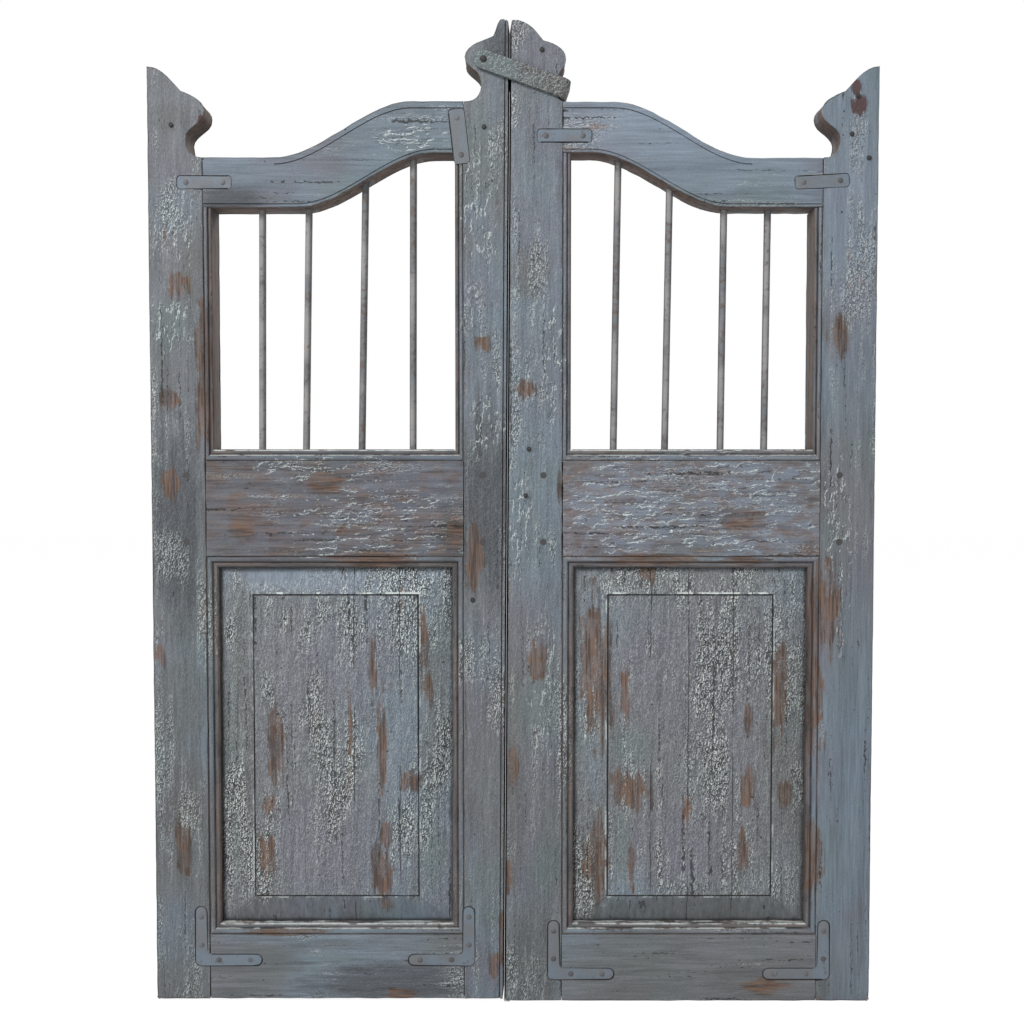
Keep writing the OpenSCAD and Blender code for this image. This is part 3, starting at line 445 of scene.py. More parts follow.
class Shade:
    """The nodes of a material or of the world. Masks run from 0 to 1, with their limits given."""

    def __init__(self, owner):
        self.owner = owner
        owner.use_nodes = True
        self.tree = owner.node_tree
        self.tree.nodes.clear()

    def add(self, kind, settings=None, inputs=None, output=0):
        """A new node with its settings and inputs; gives the named output, if it has any."""
        node = self.tree.nodes.new(kind)
        for key, value in (settings or {}).items():
            setattr(node, key, value)
        for key, value in (inputs or {}).items():
            if isinstance(value, Sock):
                self.tree.links.new(value.socket, node.inputs[key])
            else:
                node.inputs[key].default_value = value
        return Sock(self, node.outputs[output]) if node.outputs else None

    def place(self):
        return self.add("ShaderNodeTexCoord", output="Object")

    def facing(self):
        return self.add("ShaderNodeTexCoord", output="Normal")

    def parts(self, vector):
        """A vector's x, y and z."""
        first = self.add("ShaderNodeSeparateXYZ", None, {0: vector})
        return [Sock(self, out) for out in first.socket.node.outputs]

    def vector(self, operation, left, right):
        return self.add("ShaderNodeVectorMath", {"operation": operation}, {0: left, 1: right})

    def scaled(self, vector, share):
        return self.add("ShaderNodeVectorMath", {"operation": "SCALE"}, {0: vector, "Scale": share})

    def noise(self, vector, scale, detail=2.0, rough=0.5, output=0):
        return self.add(
            "ShaderNodeTexNoise", None,
            {"Vector": vector, "Scale": scale, "Detail": detail, "Roughness": rough}, output,
        )

    def step(self, value, low, high):
        """0 at low and 1 at high, which may be the smaller."""
        ends = {1: low, 2: high, 3: 0.0, 4: 1.0} if low <= high else {1: high, 2: low, 3: 1.0, 4: 0.0}
        return self.add("ShaderNodeMapRange", {"interpolation_type": "SMOOTHSTEP"}, {0: value, **ends})

    def mix(self, share, first, second):
        return self.add(
            "ShaderNodeMix", {"data_type": "RGBA"},
            {0: share, 6: self.rgba(first), 7: self.rgba(second)}, 2,
        )

    def rgba(self, value):
        if isinstance(value, Sock):
            return value
        return (*tuple(value)[:3], 1.0)

    def flaked(self, vector, scale, shift):
        """Plates of loose paint: where they lie, and a painted highlight and painted shade on opposite
        rims.
        """
        here = self.step(self.noise(vector, scale, 3.0, 0.62), 0.49, 0.55)
        moved = self.vector("ADD", vector, shift)
        there = self.step(self.noise(moved, scale, 3.0, 0.62), 0.49, 0.55)
        return here, (here - there).most(0.0), (there - here).most(0.0)

    def crackled(self, vector, scale, shift):
        """Shrunk paint: the cracks between its plates, and a painted highlight on one rim of each plate.
        """
        gaps = []
        for at in (vector, self.vector("ADD", vector, shift)):
            gaps.append(self.add(
                "ShaderNodeTexVoronoi", {"feature": "DISTANCE_TO_EDGE"}, {"Vector": at, "Scale": scale},
            ))
        cracks = self.step(gaps[0], 0.15, 0.05)
        return cracks, self.step(gaps[1], 0.18, 0.07) * (1.0 - cracks)

    def noted(self, name):
        """An attribute that the mesh carries."""
        return self.add("ShaderNodeAttribute", {"attribute_name": name}, None, "Fac")

    def marked(self, name):
        """Faces that were marked, those of them that face up or left, and down or right; the materials
        paint light and shade by these.
        """
        mark = self.noted(name)
        every = self.step(mark, 0.2, 0.4)
        return every, self.step(mark, 1.0, 1.2), every * self.step(mark, 1.0, 0.8)

    def finish(self, colour, rough, height, strength, depth):
        """Closes a material; its relief follows height."""
        bump = self.add(
            "ShaderNodeBump", None, {"Strength": strength, "Distance": depth, "Height": height},
        )
        surface = self.add(
            "ShaderNodeBsdfPrincipled", None, {"Base Color": colour, "Roughness": rough, "Normal": bump},
        )
        self.add("ShaderNodeOutputMaterial", None, {"Surface": surface})
        return self.owner


class TimberShade(Shade):
    """Old blue-grey paint on one timber, laid layer on layer over the patterns that they share."""

    def __init__(self, name):
        super().__init__(bpy.data.materials.new(name + "_paint"))
        self.name = name
        self.paint = bpy.context.scene.paint_colours
        self.level = name.endswith("rail")
        offset, self.blue, self.light, self.crackle = TIMBERS[name]
        self.at = self.place()
        self.own = self.vector("ADD", self.at, offset)
        self.x, self.y, self.z = self.parts(self.at)
        self.nx, self.ny, self.nz = self.parts(self.facing())
        self.streak = self.noise(self.grain(0.06), 95.0, 4.0, 0.65)
        self.fibre = self.noise(self.grain(0.05), 340.0, 3.0, 0.6)
        swirl = self.noise(self.own, 130.0, 3.0, 0.6, 1)
        self.wander = self.scaled(self.vector("SUBTRACT", swirl, (0.5, 0.5, 0.5)), 0.007)
        self.torn = self.vector("ADD", self.grain(0.5), self.wander)
        self.flake = self.noise(self.torn, 66.0, 5.0, 0.62)
        self.peel = self.noise(self.vector("ADD", self.grain(0.45), (0.7, 5.1, 2.3)), 15.0, 3.0)
        self.ragged = (self.flake - 0.5) * 1.3 + (self.streak - 0.5) * 1.9

    def grain(self, share):
        """The timber's own coordinates, drawn out along its grain."""
        return self.vector("MULTIPLY", self.own, (share, 1.0, 1.0) if self.level else (1.0, 1.0, share))

    def cover(self, share, colour):
        """Lays a colour over the layers so far."""
        self.skin = self.mix(share, self.skin, colour)

    def near(self, boxes):
        """Distance to the nearest of the boxes, as a share of its half size; 1 on its rim."""
        nearest = None
        for left, top, right, bottom in boxes:
            x0, z1 = on_face(left, top)
            x1, z0 = on_face(right, bottom)
            scale = (2.0 / (x1 - x0), 0.0, 2.0 / (z1 - z0))
            shift = (-(x0 + x1) / (x1 - x0), 0.0, -(z0 + z1) / (z1 - z0))
            moved = self.add(
                "ShaderNodeVectorMath", {"operation": "MULTIPLY_ADD"}, {0: self.at, 1: scale, 2: shift},
            )
            reach = self.add("ShaderNodeVectorMath", {"operation": "LENGTH"}, {0: moved}, "Value")
            nearest = reach if nearest is None else nearest.least(reach)
        return nearest

    def lay_coat(self):
        """The paint in its drifting colours, with fine streaks along the grain."""
        paint = self.paint
        broad = self.noise(self.own, 3.1)
        mood = self.noise(self.vector("ADD", self.own, (3.1, 0.0, 7.7)), 7.0, 3.0)
        drift = self.noise(self.vector("ADD", self.grain(0.16), (6.3, 1.0, 2.9)), 27.0, 3.0, 0.55)
        grit = self.noise(self.own, 480.0)
        self.skin = self.mix(self.step(broad + self.blue, 0.4, 0.62), paint.grey, paint.blue)
        self.cover(self.step(mood, 0.52, 0.64) * 0.4, paint.green)
        self.cover(self.step(mood, 0.48, 0.36) * 0.55, paint.plum)
        self.cover(self.step(drift, 0.56, 0.68) * 0.4, paint.dull)
        for tint, boxes in TINTS[self.name].items():
            near = self.near(boxes) + self.ragged * 0.8
            share = 0.95 if tint == "dark_stretch" else 0.6
            self.cover(self.step(near, 1.5, 0.5) * share, getattr(paint, tint))
        tone = 1.0 + (self.streak - 0.5) * 1.1 + (self.fibre - 0.5) * 0.9 + (grit - 0.5) * 0.5
        tone = tone + self.step(self.z, 0.1, 1.3) * 0.07
        self.skin = self.scaled(self.skin, tone * self.light)

    def flake_off_and_shade_rims(self):
        """Cracks between the shrunk plates of paint, with a painted highlight and painted shade on the
        plates' rims.
        """
        name, paint, level, crackle = self.name, self.paint, self.level, self.crackle
        start = 0.62 - 0.16 * crackle
        gate = self.step(self.peel + (self.streak - 0.5) * 0.6, start, start + 0.18)
        gate = gate * (0.5 + 0.5 * crackle) + 0.3 * crackle * crackle
        if name in CALM:
            gate = gate * self.step(self.near(CALM[name]) + self.ragged * 0.3, 0.8, 1.2)
        loose = gate
        if name in FLAKING:
            near = self.near(FLAKING[name]) + self.ragged * 1.2 + (self.peel - 0.5) * 1.6
            loose = gate.most(self.step(near, 1.3, 0.7) * (0.9 if level else 0.75))
        shift = (0.0004, 0.0, -0.0009) if level else (0.0008, 0.0, -0.0006)
        cracks, rims = self.crackled(self.torn, 290.0, shift)
        drawn = self.vector("ADD", self.grain(0.3), self.vector("ADD", self.wander, (4.0, 0.0, 4.0)))
        self.plates, lit, shaded = self.flaked(drawn, 120.0, shift)
        rims = (rims * 0.65).most(self.step(self.fibre, 0.62, 0.74) * 0.45) * gate
        # Painted highlights on the plates' rims, and light streaks along the grain
        self.cover(rims.most(lit * loose).least(1.0), paint.pale_and_highlight)
        # The cracks, and painted shade on the plates' rims
        self.cover((cracks * gate * 0.65).most(shaded * loose * 0.85).least(1.0), paint.grime_and_shade)
        self.relief = (self.plates * 0.5 - cracks * 0.5) * gate

    def rub_through_and_shade_edges(self):
        """Wood on the rubbed edges and in the bare patches, dried red where a face has split, and painted
        light and shade on the edges and on the rims of the irons' sinkings.
        """
        name, paint = self.name, self.paint
        grained = self.step(self.fibre + (self.streak - 0.5) * 0.7, 0.36, 0.62)
        self.wood = self.mix(grained, paint.dark, paint.bare)
        worn = self.step(self.noted("wear") + (self.flake - 0.5) * 0.7, 0.92, 1.15) * 0.7
        lit_arris, dark_arris = self.marked("arris")[1:]
        dark_seat, lit_seat = self.marked("seat")[1:]
        # Painted highlights on edges that face up or left and on sinkings' rims that face down or right;
        # painted shade on the others
        self.cover(lit_arris * 0.2, paint.pale_and_highlight)
        self.cover((dark_arris * 0.55).most(dark_seat * 0.8), paint.grime_and_shade)
        self.cover(lit_seat * 0.65, paint.pale_and_highlight)
        thin = self.streak + (self.flake - 0.5) * 0.5 + (self.peel - 0.5) * 0.5
        worn = worn.most(self.step(thin, 0.68, 0.82) * (0.2 if name.endswith("lock_rail") else 0.6))
        if name in BARE:
            near = self.near(BARE[name]) + self.ragged * (1.0 if self.level else 1.7)
            worn = worn.most(self.step(near, 1.15, 0.75) * (0.65 + 0.5 * self.plates).least(1.0))
        self.cover(worn.least(1.0) * 0.9, self.wood)
        if name in RED:
            dried = self.step(self.near(RED[name]) + self.ragged * 0.9, 1.1, 0.8)
            self.cover(dried * 0.9, paint.red)
        self.worn = worn

    def bare_and_shaded_sides(self):
        """Bare wood on the sides, and painted shade on them, most of it in the gap at the meeting edges
        and under the heads.
        """
        side = self.step(abs(self.ny), 0.55, 0.25)
        self.cover(side * (0.3 + 0.6 * self.flake), self.wood)
        # Painted shade on the sides that face left or right, near black in the gap between the leaves
        painted_shade = 0.35
        if self.name.endswith("meeting_stile"):
            painted_shade = 0.35 + 0.6 * self.step(abs(self.x), MEETING_REACH, MEETING_REACH * 0.7)
        self.cover(side * self.step(abs(self.nx), 0.5, 0.8) * painted_shade, self.paint.grime_and_shade)
        # Painted shade under the heads
        self.cover(self.step(self.nz, -0.3, -0.75) * self.step(self.z, *HEADS) * 0.5, self.paint.grime_and_shade)

    def open_cracks(self):
        """Fine cracks along the grain, pinholes, and the splits down a panel."""
        crack = self.noise(self.vector("ADD", self.grain(0.035), self.wander), 190.0, 2.0)
        sunk = self.step(crack, 0.35, 0.285)
        sunk = sunk.most(self.step(self.noise(self.own, 150.0, 1.0), 0.235, 0.2))
        for u in SPLITS.get(self.name, ()):
            line = abs(self.x - on_face(u, MIDDLE_PX)[0] + (self.flake - 0.5) * 0.006)
            sunk = sunk.most(self.step(line, 0.0009, 0.0004) * self.step(self.peel, 0.42, 0.5))
        self.sunk = sunk

    def tone_mouldings(self):
        """Wood in the mouldings of a stile or rail with a darker tone over it, and a broken painted
        highlight on the sills' upward faces under the openings.
        """
        name, paint = self.name, self.paint
        low = self.step(self.y, *MOULDING_FRONT) * self.step(self.y, *MOULDING_BACK)
        self.cover(low * (0.15 + 0.7 * self.streak), self.wood)
        self.cover(low * 0.22, paint.grime_and_shade)
        if name.endswith(("lock_rail", "bottom_rail")):
            foot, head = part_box(name)
            top = self.step(self.z, (foot.z + head.z) / 2.0, head.z - SILL_DROP)
            # A broken painted highlight on the sills' faces that look up
            sill = low * top * self.step(self.nz, 0.25, 0.6)
            sill = sill * self.step(self.flake + (self.streak - 0.5) * 0.6, 0.38, 0.52)
            self.cover(sill * 0.75, paint.pale_and_highlight)
        self.sunk = self.sunk.most(low * self.step(self.flake, 0.52, 0.62) * 0.5)

    def draw_field(self):
        """On a panel's front: painted light on the upper slope and painted shade on the lower, a darker
        band at the slopes' foot, and a painted highlight and painted shade line along the field's edge.
        """
        paint = self.paint
        low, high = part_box(self.name)
        middle = (low + high) / 2.0
        half = (high - low) / 2.0
        across = abs(self.x - middle.x) - (half.x - FIELD_INSET_X)
        up = abs(self.z - middle.z) - (half.z - FIELD_INSET_Z)
        slope = self.step(up * (FIELD_INSET_X / FIELD_INSET_Z) - across, -0.0006, 0.0006)
        slope = slope * self.step(up, -0.0005, 0.0005)
        upper = self.step(self.z - middle.z, -0.01, 0.01)
        above = slope * upper
        below = slope * (1.0 - upper)
        out = across.most(up)
        front = self.step(self.ny, 0.2, -0.2)
        # Painted light and shade: the upper slope lighter, the lower slope darker
        self.skin = self.scaled(self.skin, 1.0 + (above * 0.14 - below * 0.16) * front)
        # A darker band at the foot of the slopes
        self.cover(front * self.step(self.y, *PANEL_FOOT) * 0.7, paint.grime_and_shade)
        # A broken painted highlight along the field's edge, strongest on the upper slope
        rim = self.step(abs(out - 0.003), 0.0018, 0.0007)
        rim = rim * self.step(self.flake + (self.peel - 0.5) * 0.6, 0.5, 0.58)
        self.cover(rim * front * (0.4 + 0.5 * above), paint.pale_and_highlight)
        # A painted shade line along the field's edge
        line = self.step(abs(out - 0.0006), 0.0017, 0.0008) * self.step(self.streak, 0.36, 0.5)
        self.sunk = self.sunk.most(line * front)

    def close(self):
        """Darkens what is sunk and gives the finished material."""
        self.cover(self.sunk * 0.85, self.paint.grime_and_shade)
        relief = self.relief + self.flake * 0.3 + self.fibre * 0.35 - self.worn * 0.3 - self.sunk * 0.8
        return self.finish(self.skin, 0.78 + self.worn * 0.14, relief, 0.6, 0.0009)


def timber_paint(name):
    """Old blue-grey paint on one timber, worn through to the wood."""
    shade = TimberShade(name)
    shade.lay_coat()
    shade.flake_off_and_shade_rims()
    shade.rub_through_and_shade_edges()
    shade.bare_and_shaded_sides()
    shade.open_cracks()
    if name.endswith("panel"):
        shade.draw_field()
    else:
        shade.tone_mouldings()
    return shade.close()


def iron_paint(name, painted, offset, first, second, sides=0.0):
    """Iron under two colours of paint, worn to rust; painted is the share of paint left.

    sides sets the painted shade on the iron's left and right edges and on its right side.
    """
    paint = bpy.context.scene.paint_colours
    look = bpy.context.scene.iron_look
    shade = Shade(bpy.data.materials.new(name))
    own = shade.vector("ADD", shade.place(), offset)
    broad = shade.noise(own, 16.0, 3.0)
    flake = shade.noise(own, 150.0, 4.0, 0.65)
    grit = shade.noise(own, 620.0)
    coat = shade.mix(shade.step(broad, 0.4, 0.62), first, second)
    coat = shade.mix(shade.step(flake, 0.5, 0.7) * 0.4, coat, paint.plum)
    metal = shade.mix(shade.step(flake, 0.4, 0.6), look.metal, look.rust)
    lost = flake + (broad - 0.5) * 0.6
    colour = shade.mix(shade.step(lost, painted - 0.05, painted + 0.1) * 0.8, coat, metal)
    # Painted shade on the edges, heaviest on those that face down or right
    arris, _, dark_arris = shade.marked("arris")
    colour = shade.mix((arris * (0.4 + 0.6 * flake)).most(dark_arris * 0.95), colour, paint.grime_and_shade)
    if sides:
        nx = shade.parts(shade.facing())[0]
        painted_shade = shade.step(abs(nx), 0.65, 0.97).most(shade.step(nx, 0.0, 0.8) * 0.7)
        colour = shade.mix(painted_shade * sides * (0.6 + 0.6 * flake), colour, paint.grime_and_shade)
    colour = shade.scaled(colour, 0.75 + grit * 0.3 + flake * 0.2)
    return shade.finish(colour, 0.65 + flake * 0.2, flake * 0.5 + grit * 0.3, 0.35, 0.0006)


def plain_iron(name, share):
    """Dull iron with a little rust; share sets how light it is."""
    look = bpy.context.scene.iron_look
    shade = Shade(bpy.data.materials.new(name))
    place = shade.place()
    flake = shade.noise(place, 180.0, 4.0, 0.65)
    grit = shade.noise(place, 700.0)
    colour = shade.mix(shade.step(flake, 0.5, 0.7) * 0.6, look.metal, look.rust)
    colour = shade.scaled(colour, share * (0.6 + grit * 0.8))
    return shade.finish(colour, 0.55 + flake * 0.3, flake + grit * 0.3, 0.4, 0.0005)


def strap_hide(name):
    """Weathered hide, painted over at the nailed end."""
    paint = bpy.context.scene.paint_colours
    look = bpy.context.scene.strap_look
    shade = Shade(bpy.data.materials.new(name))
    place = shade.place()
    x = shade.parts(place)[0]
    broad = shade.noise(place, 45.0, 3.0)
    grain = shade.noise(place, 230.0, 4.0, 0.65)
    hide = shade.mix(shade.step(grain, 0.38, 0.6), look.crack, look.hide)
    coat = shade.mix(shade.step(broad, 0.4, 0.62), paint.green, look.coat)
    over = shade.step(x + (broad - 0.5) * 0.09, 0.05, -0.03)
    colour = shade.mix(over * 0.85, hide, coat)
    # A painted highlight and painted shade on the rims of the loose plates
    plates, lit, shaded = shade.flaked(place, 210.0, (0.0006, 0.0, -0.0007))
    colour = shade.mix(lit * 0.5, colour, paint.pale_and_highlight)
    colour = shade.mix(shaded * 0.6, colour, look.crack)
    # Painted shade on the edges, heaviest on those that face down or right
    arris, _, dark_arris = shade.marked("arris")
    colour = shade.mix((arris * 0.3).most(dark_arris * 0.85), colour, paint.grime_and_shade)
    return shade.finish(colour, 0.82, grain * 0.6 + plates * 0.5, 0.5, 0.0008)


def select_alone(piece=None):
    """Closes what is open and selects one object alone, or nothing."""
    if bpy.context.mode != "OBJECT":
        bpy.ops.object.mode_set(mode="OBJECT")
    bpy.ops.object.select_all(action="DESELECT")
    if piece:
        piece.select_set(True)
        bpy.context.view_layer.objects.active = piece


def open_mesh(piece):
    """Selects one object alone and opens its mesh."""
    select_alone(piece)
    bpy.ops.object.mode_set(mode="EDIT")


def close_mesh():
    bpy.ops.object.mode_set(mode="OBJECT")


def unselected(piece):
    """The open mesh, with nothing in it selected."""
    bm = bmesh.from_edit_mesh(piece.data)
    for part in (*bm.verts, *bm.edges, *bm.faces):
        part.select = False
    return bm


def take_copy(node):
    """A copy of a CAD node, open, with its triangles merged into whole faces."""
    select_alone(frame["nodes"][node])
    bpy.ops.object.duplicate()
    piece = bpy.context.active_object
    piece.name = node + "_worn"
    bpy.ops.object.parent_clear(type="CLEAR_KEEP_TRANSFORM")
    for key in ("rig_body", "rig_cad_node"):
        del piece[key]
    piece.data.materials.clear()
    bpy.ops.mesh.customdata_custom_splitnormals_clear()
    open_mesh(piece)
    bpy.ops.mesh.select_all(action="SELECT")
    bpy.ops.mesh.remove_doubles(threshold=MERGE)
    bpy.ops.mesh.mark_sharp(clear=True)
    bpy.ops.mesh.dissolve_limited(angle_limit=FLAT)
    return piece


def face_width(face):
    return face.calc_area() / max(edge.calc_length() for edge in face.edges)


def face_depth(face):
    depths = [vertex.co.y for vertex in face.verts]
    return max(depths) - min(depths)


def mark_faces(piece, name):
    """Marks the selected faces: up to 1.5 where they face up or left, from 0.5 down or right, else 0; the
    materials paint light and shade by this.
    """
    bm = bmesh.from_edit_mesh(piece.data)
    layer = bm.faces.layers.float.new(name)
    for face in bm.faces:
        lean = (face.normal.z - face.normal.x) / 2.0
        face[layer] = 1.0 + max(-0.5, min(0.5, lean)) if face.select else 0.0
    bmesh.update_edit_mesh(piece.data)


def round_arrises(piece, width, least_face, least_edge, clamp=True):
    """Bevels the outer edges between broad faces, and marks the new faces as arris.

    The edges that meet the other leaf or the floor stay as they are.
    """
    bm = unselected(piece)
    for edge in bm.edges:
        if len(edge.link_faces) != 2 or edge.calc_length() < least_edge:
            continue
        middle = (edge.verts[0].co + edge.verts[1].co) / 2.0
        through = abs(edge.verts[0].co.y - edge.verts[1].co.y) > THROUGH
        if (middle.y > 0.0 or through) and abs(middle.x) < MEETING_REACH:
            continue
        if through and middle.z < FOOT_REACH:
            continue
        if edge.is_convex and edge.calc_face_angle() > SHARP:
            if min(face_width(face) for face in edge.link_faces) > least_face:
                edge.select_set(True)
    bmesh.update_edit_mesh(piece.data)
    bpy.ops.mesh.bevel(offset=width, segments=2, profile=0.5, affect="EDGES", clamp_overlap=clamp)
    mark_faces(piece, "arris")


def round_seats(piece):
    """Softens the rims of the sinkings that the irons lie in, and marks them as seat."""
    bm = unselected(piece)
    for edge in bm.edges:
        if len(edge.link_faces) != 2 or not edge.is_convex:
            continue
        if max(abs(vertex.co.y - FACE_Y) for vertex in edge.verts) > MERGE:
            continue
        if any(abs(face_depth(face) - SEAT_DEPTH) < SEAT_SLACK for face in edge.link_faces):
            edge.select_set(True)
    bmesh.update_edit_mesh(piece.data)
    bpy.ops.mesh.bevel(offset=SEAT_RIM, segments=1, affect="EDGES", clamp_overlap=True)
    mark_faces(piece, "seat")


def cut_across(node, axis, spacing):
    """Cuts a node's open copy with even planes square to an axis."""
    low, high = (corner[axis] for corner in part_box(node))
    count = max(1, round((high - low) / spacing))
    normal = [0.0, 0.0, 0.0]
    normal[axis] = 1.0
    for i in range(1, count):
        at = [0.0, 0.0, 0.0]
        at[axis] = low + (high - low) * i / count
        bpy.ops.mesh.select_all(action="SELECT")
        bpy.ops.mesh.bisect(plane_co=at, plane_no=normal)


def roughen(piece, name, size, depth, direction="Y", group="", middle=0.5):
    """Shifts the surface by a soft pattern; a middle near 1 only takes it inwards."""
    texture = bpy.data.textures.new(name, "CLOUDS")
    texture.noise_scale = size
    texture.noise_depth = 2
    bpy.ops.object.modifier_add(type="DISPLACE")
    change = piece.modifiers[-1]
    change.texture = texture
    change.texture_coords = "LOCAL"
    change.strength = depth
    change.direction = direction
    change.mid_level = middle
    change.vertex_group = group
    bpy.ops.object.modifier_apply(modifier=change.name)


def group_arrises(piece):
    """Groups the points of the arrises, but for the backs of the meeting edges."""
    marks = piece.data.attributes["arris"].data
    points = set()
    for face in piece.data.polygons:
        if marks[face.index].value > 0.4:
            points.update(face.vertices)
    kept = []
    for index in points:
        place = piece.data.vertices[index].co
        if place.y < 0.0 or abs(place.x) > MEETING_REACH:
            kept.append(index)
    group = piece.vertex_groups.new(name="worn")
    group.add(kept, 1.0, "REPLACE")


def note_wear(piece):
    """Keeps the group of the arrises as an attribute for the material."""
    marks = [1.0 if vertex.groups else 0.0 for vertex in piece.data.vertices]
    piece.vertex_groups.clear()
    attribute = piece.data.attributes.new("wear", "FLOAT", "POINT")
    attribute.data.foreach_set("value", marks)


def dress(piece, node, material):
    """Sets a finished copy in its node's place."""
    piece.data.materials.append(material)
    select_alone(piece)
    bpy.ops.object.shade_smooth_by_angle(angle=SMOOTH)
    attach(piece, frame["nodes"][node]["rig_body"])
    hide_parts(node)


def coat_node(node, material):
    """Gives a CAD node that keeps its shape a better material."""
    piece = frame["nodes"][node]
    piece.data.materials.clear()
    piece.data.materials.append(material)


def wear_timber(node):
    """A timber with rubbed and nicked edges and uneven faces, under old paint."""
    look = bpy.context.scene.timber_look
    piece = take_copy(node)
    round_arrises(piece, look.arris, TIMBER_FACE, TIMBER_EDGE)
    if not node.endswith(("lock_rail", "panel")):
        round_seats(piece)
    cut_across(node, 0, look.cut)
    cut_across(node, 2, look.cut)
    close_mesh()
    group_arrises(piece)
    roughen(piece, node + "_hollows", look.dent_size, look.dent)
    roughen(piece, node + "_nicks", look.dent_size * NICK_SHARE, look.nick, "NORMAL", "worn", INWARDS)
    note_wear(piece)
    dress(piece, node, timber_paint(node))


def wear_iron(node, material, axes, spacing):
    """An iron with rubbed edges and hammer marks."""
    look = bpy.context.scene.iron_look
    piece = take_copy(node)
    round_arrises(piece, look.arris, THIN_FACE, IRON_EDGE, clamp=False)
    for axis in axes:
        cut_across(node, axis, spacing)
    close_mesh()
    roughen(piece, node + "_marks", HAMMER_SIZE, look.dent)
    dress(piece, node, material)


class DOORPAIR_OT_stiles(Operator):
    """Makes the four upright timbers"""

    bl_idname = "doorpair.stiles"
    bl_label = "Stiles"

    def execute(self, context):
        for side in SIDES:
            for stile in STILES:
                wear_timber(f"{side}_{stile}")
        return {"FINISHED"}


class DOORPAIR_OT_rails(Operator):
    """Makes the arched rails, lock rails and bottom rails"""

    bl_idname = "doorpair.rails"
    bl_label = "Rails"

    def execute(self, context):
        for side in SIDES:
            for rail in RAILS:
                wear_timber(f"{side}_{rail}")
        return {"FINISHED"}


class DOORPAIR_OT_panels(Operator):
    """Makes the two raised panels"""

    bl_idname = "doorpair.panels"
    bl_label = "Panels"

    def execute(self, context):
        for side in SIDES:
            wear_timber(f"{side}_panel")
        return {"FINISHED"}


class DOORPAIR_OT_bars(Operator):
    """Makes the eight window bars"""

    bl_idname = "doorpair.bars"
    bl_label = "Window bars"

    def execute(self, context):
        look = context.scene.iron_look
        # The last value sets the painted shade on the bars' sides
        material = iron_paint("bar_iron", 0.58, (2.2, 0.4, 6.1), look.bar, look.coat, 0.7)
        for side in SIDES:
            for bar in BARS:
                wear_iron(f"{side}_{bar}", material, (2,), BAR_CUT)
        return {"FINISHED"}


class DOORPAIR_OT_irons(Operator):
    """Makes the mending plates and corner irons"""

    bl_idname = "doorpair.irons"
    bl_label = "Plates and corner irons"

    def execute(self, context):
        coat = context.scene.iron_look.coat
        blue = context.scene.paint_colours.blue
        material = iron_paint("painted_iron", 0.66, (5.0, 1.3, 2.7), coat, blue)
        for side in SIDES:
            for iron in IRONS:
                wear_iron(f"{side}_{iron}", material, (0, 2), IRON_CUT)
        return {"FINISHED"}


class DOORPAIR_OT_fasteners(Operator):
    """Finishes the pegs and the irons' screws"""

    bl_idname = "doorpair.fasteners"
    bl_label = "Pegs and screws"

    def execute(self, context):
        look = context.scene.iron_look
        screw = iron_paint("painted_screws", 0.6, (1.4, 2.9, 4.2), look.metal, look.coat)
        peg = plain_iron("peg_ends", 0.6)
        for side in SIDES:
            coat_node(f"{side}_screws", screw)
            coat_node(f"{side}_pegs", peg)
        return {"FINISHED"}


class DOORPAIR_OT_nails(Operator):
    """Drives the old nails into the faces"""

    bl_idname = "doorpair.nails"
    bl_label = "Old nails"

    def execute(self, context):
        # Near-black iron on the nails, with a lighter copy on each head's middle as a painted highlight
        ring = plain_iron("nail_ring", 0.14)
        centre = plain_iron("nail_centre", 0.5)
        for number, (u, v, body) in enumerate(NAILS, 1):
            x, z = on_face(u, v)
            select_alone()
            bpy.ops.mesh.primitive_cylinder_add(
                vertices=NAIL_SIDES, radius=NAIL_RADIUS, depth=NAIL_LENGTH,
                location=(x, FACE_Y + NAIL_SINK, z), rotation=(math.pi / 2, 0.0, 0.0),
            )
            nail = context.active_object
            nail.name = f"old_nail_{number}"
            bpy.ops.object.transform_apply(location=True, rotation=True, scale=True)
            open_mesh(nail)
            bm = unselected(nail)
            for face in bm.faces:
                if face.normal.y < -0.9:
                    face.select_set(True)
            bmesh.update_edit_mesh(nail.data)
            nail.data.materials.append(ring)
            nail.data.materials.append(centre)
            for dish in NAIL_DISH:
                bpy.ops.mesh.inset(thickness=NAIL_RING, depth=dish)
            nail.active_material_index = 1
            bpy.ops.object.material_slot_assign()
            close_mesh()
            bpy.ops.object.shade_smooth_by_angle(angle=SMOOTH)
            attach(nail, body)
        return {"FINISHED"}


class DOORPAIR_OT_hinges(Operator):
    """Finishes the hinges, their screws and the strap's nail"""

    bl_idname = "doorpair.hinges"
    bl_label = "Hinges"

    def execute(self, context):
        material = plain_iron("hinge_iron", 0.8)
        for side in SIDES:
            for part in (*HINGE_PLATES, *HINGE_JAMBS, "hinge_screws"):
                coat_node(f"{side}_{part}", material)
        coat_node("latch_nail", plain_iron("strap_nail", 0.3))
        return {"FINISHED"}


class DOORPAIR_OT_strap(Operator):
    """Makes the strap loop"""

    bl_idname = "doorpair.strap"
    bl_label = "Strap loop"

    def execute(self, context):
        look = context.scene.strap_look
        node = "latch_strap"
        piece = take_copy(node)
        round_arrises(piece, STRAP_ARRIS, THIN_FACE, STRAP_EDGE, clamp=False)
        cut_across(node, 0, STRAP_CUT_X)
        cut_across(node, 2, STRAP_CUT_Z)
        close_mesh()
        roughen(piece, "strap_wrinkles", WRINKLE_SIZE, look.wrinkle, "NORMAL", "", INWARDS)
        dress(piece, node, strap_hide("strap_hide"))
        return {"FINISHED"}


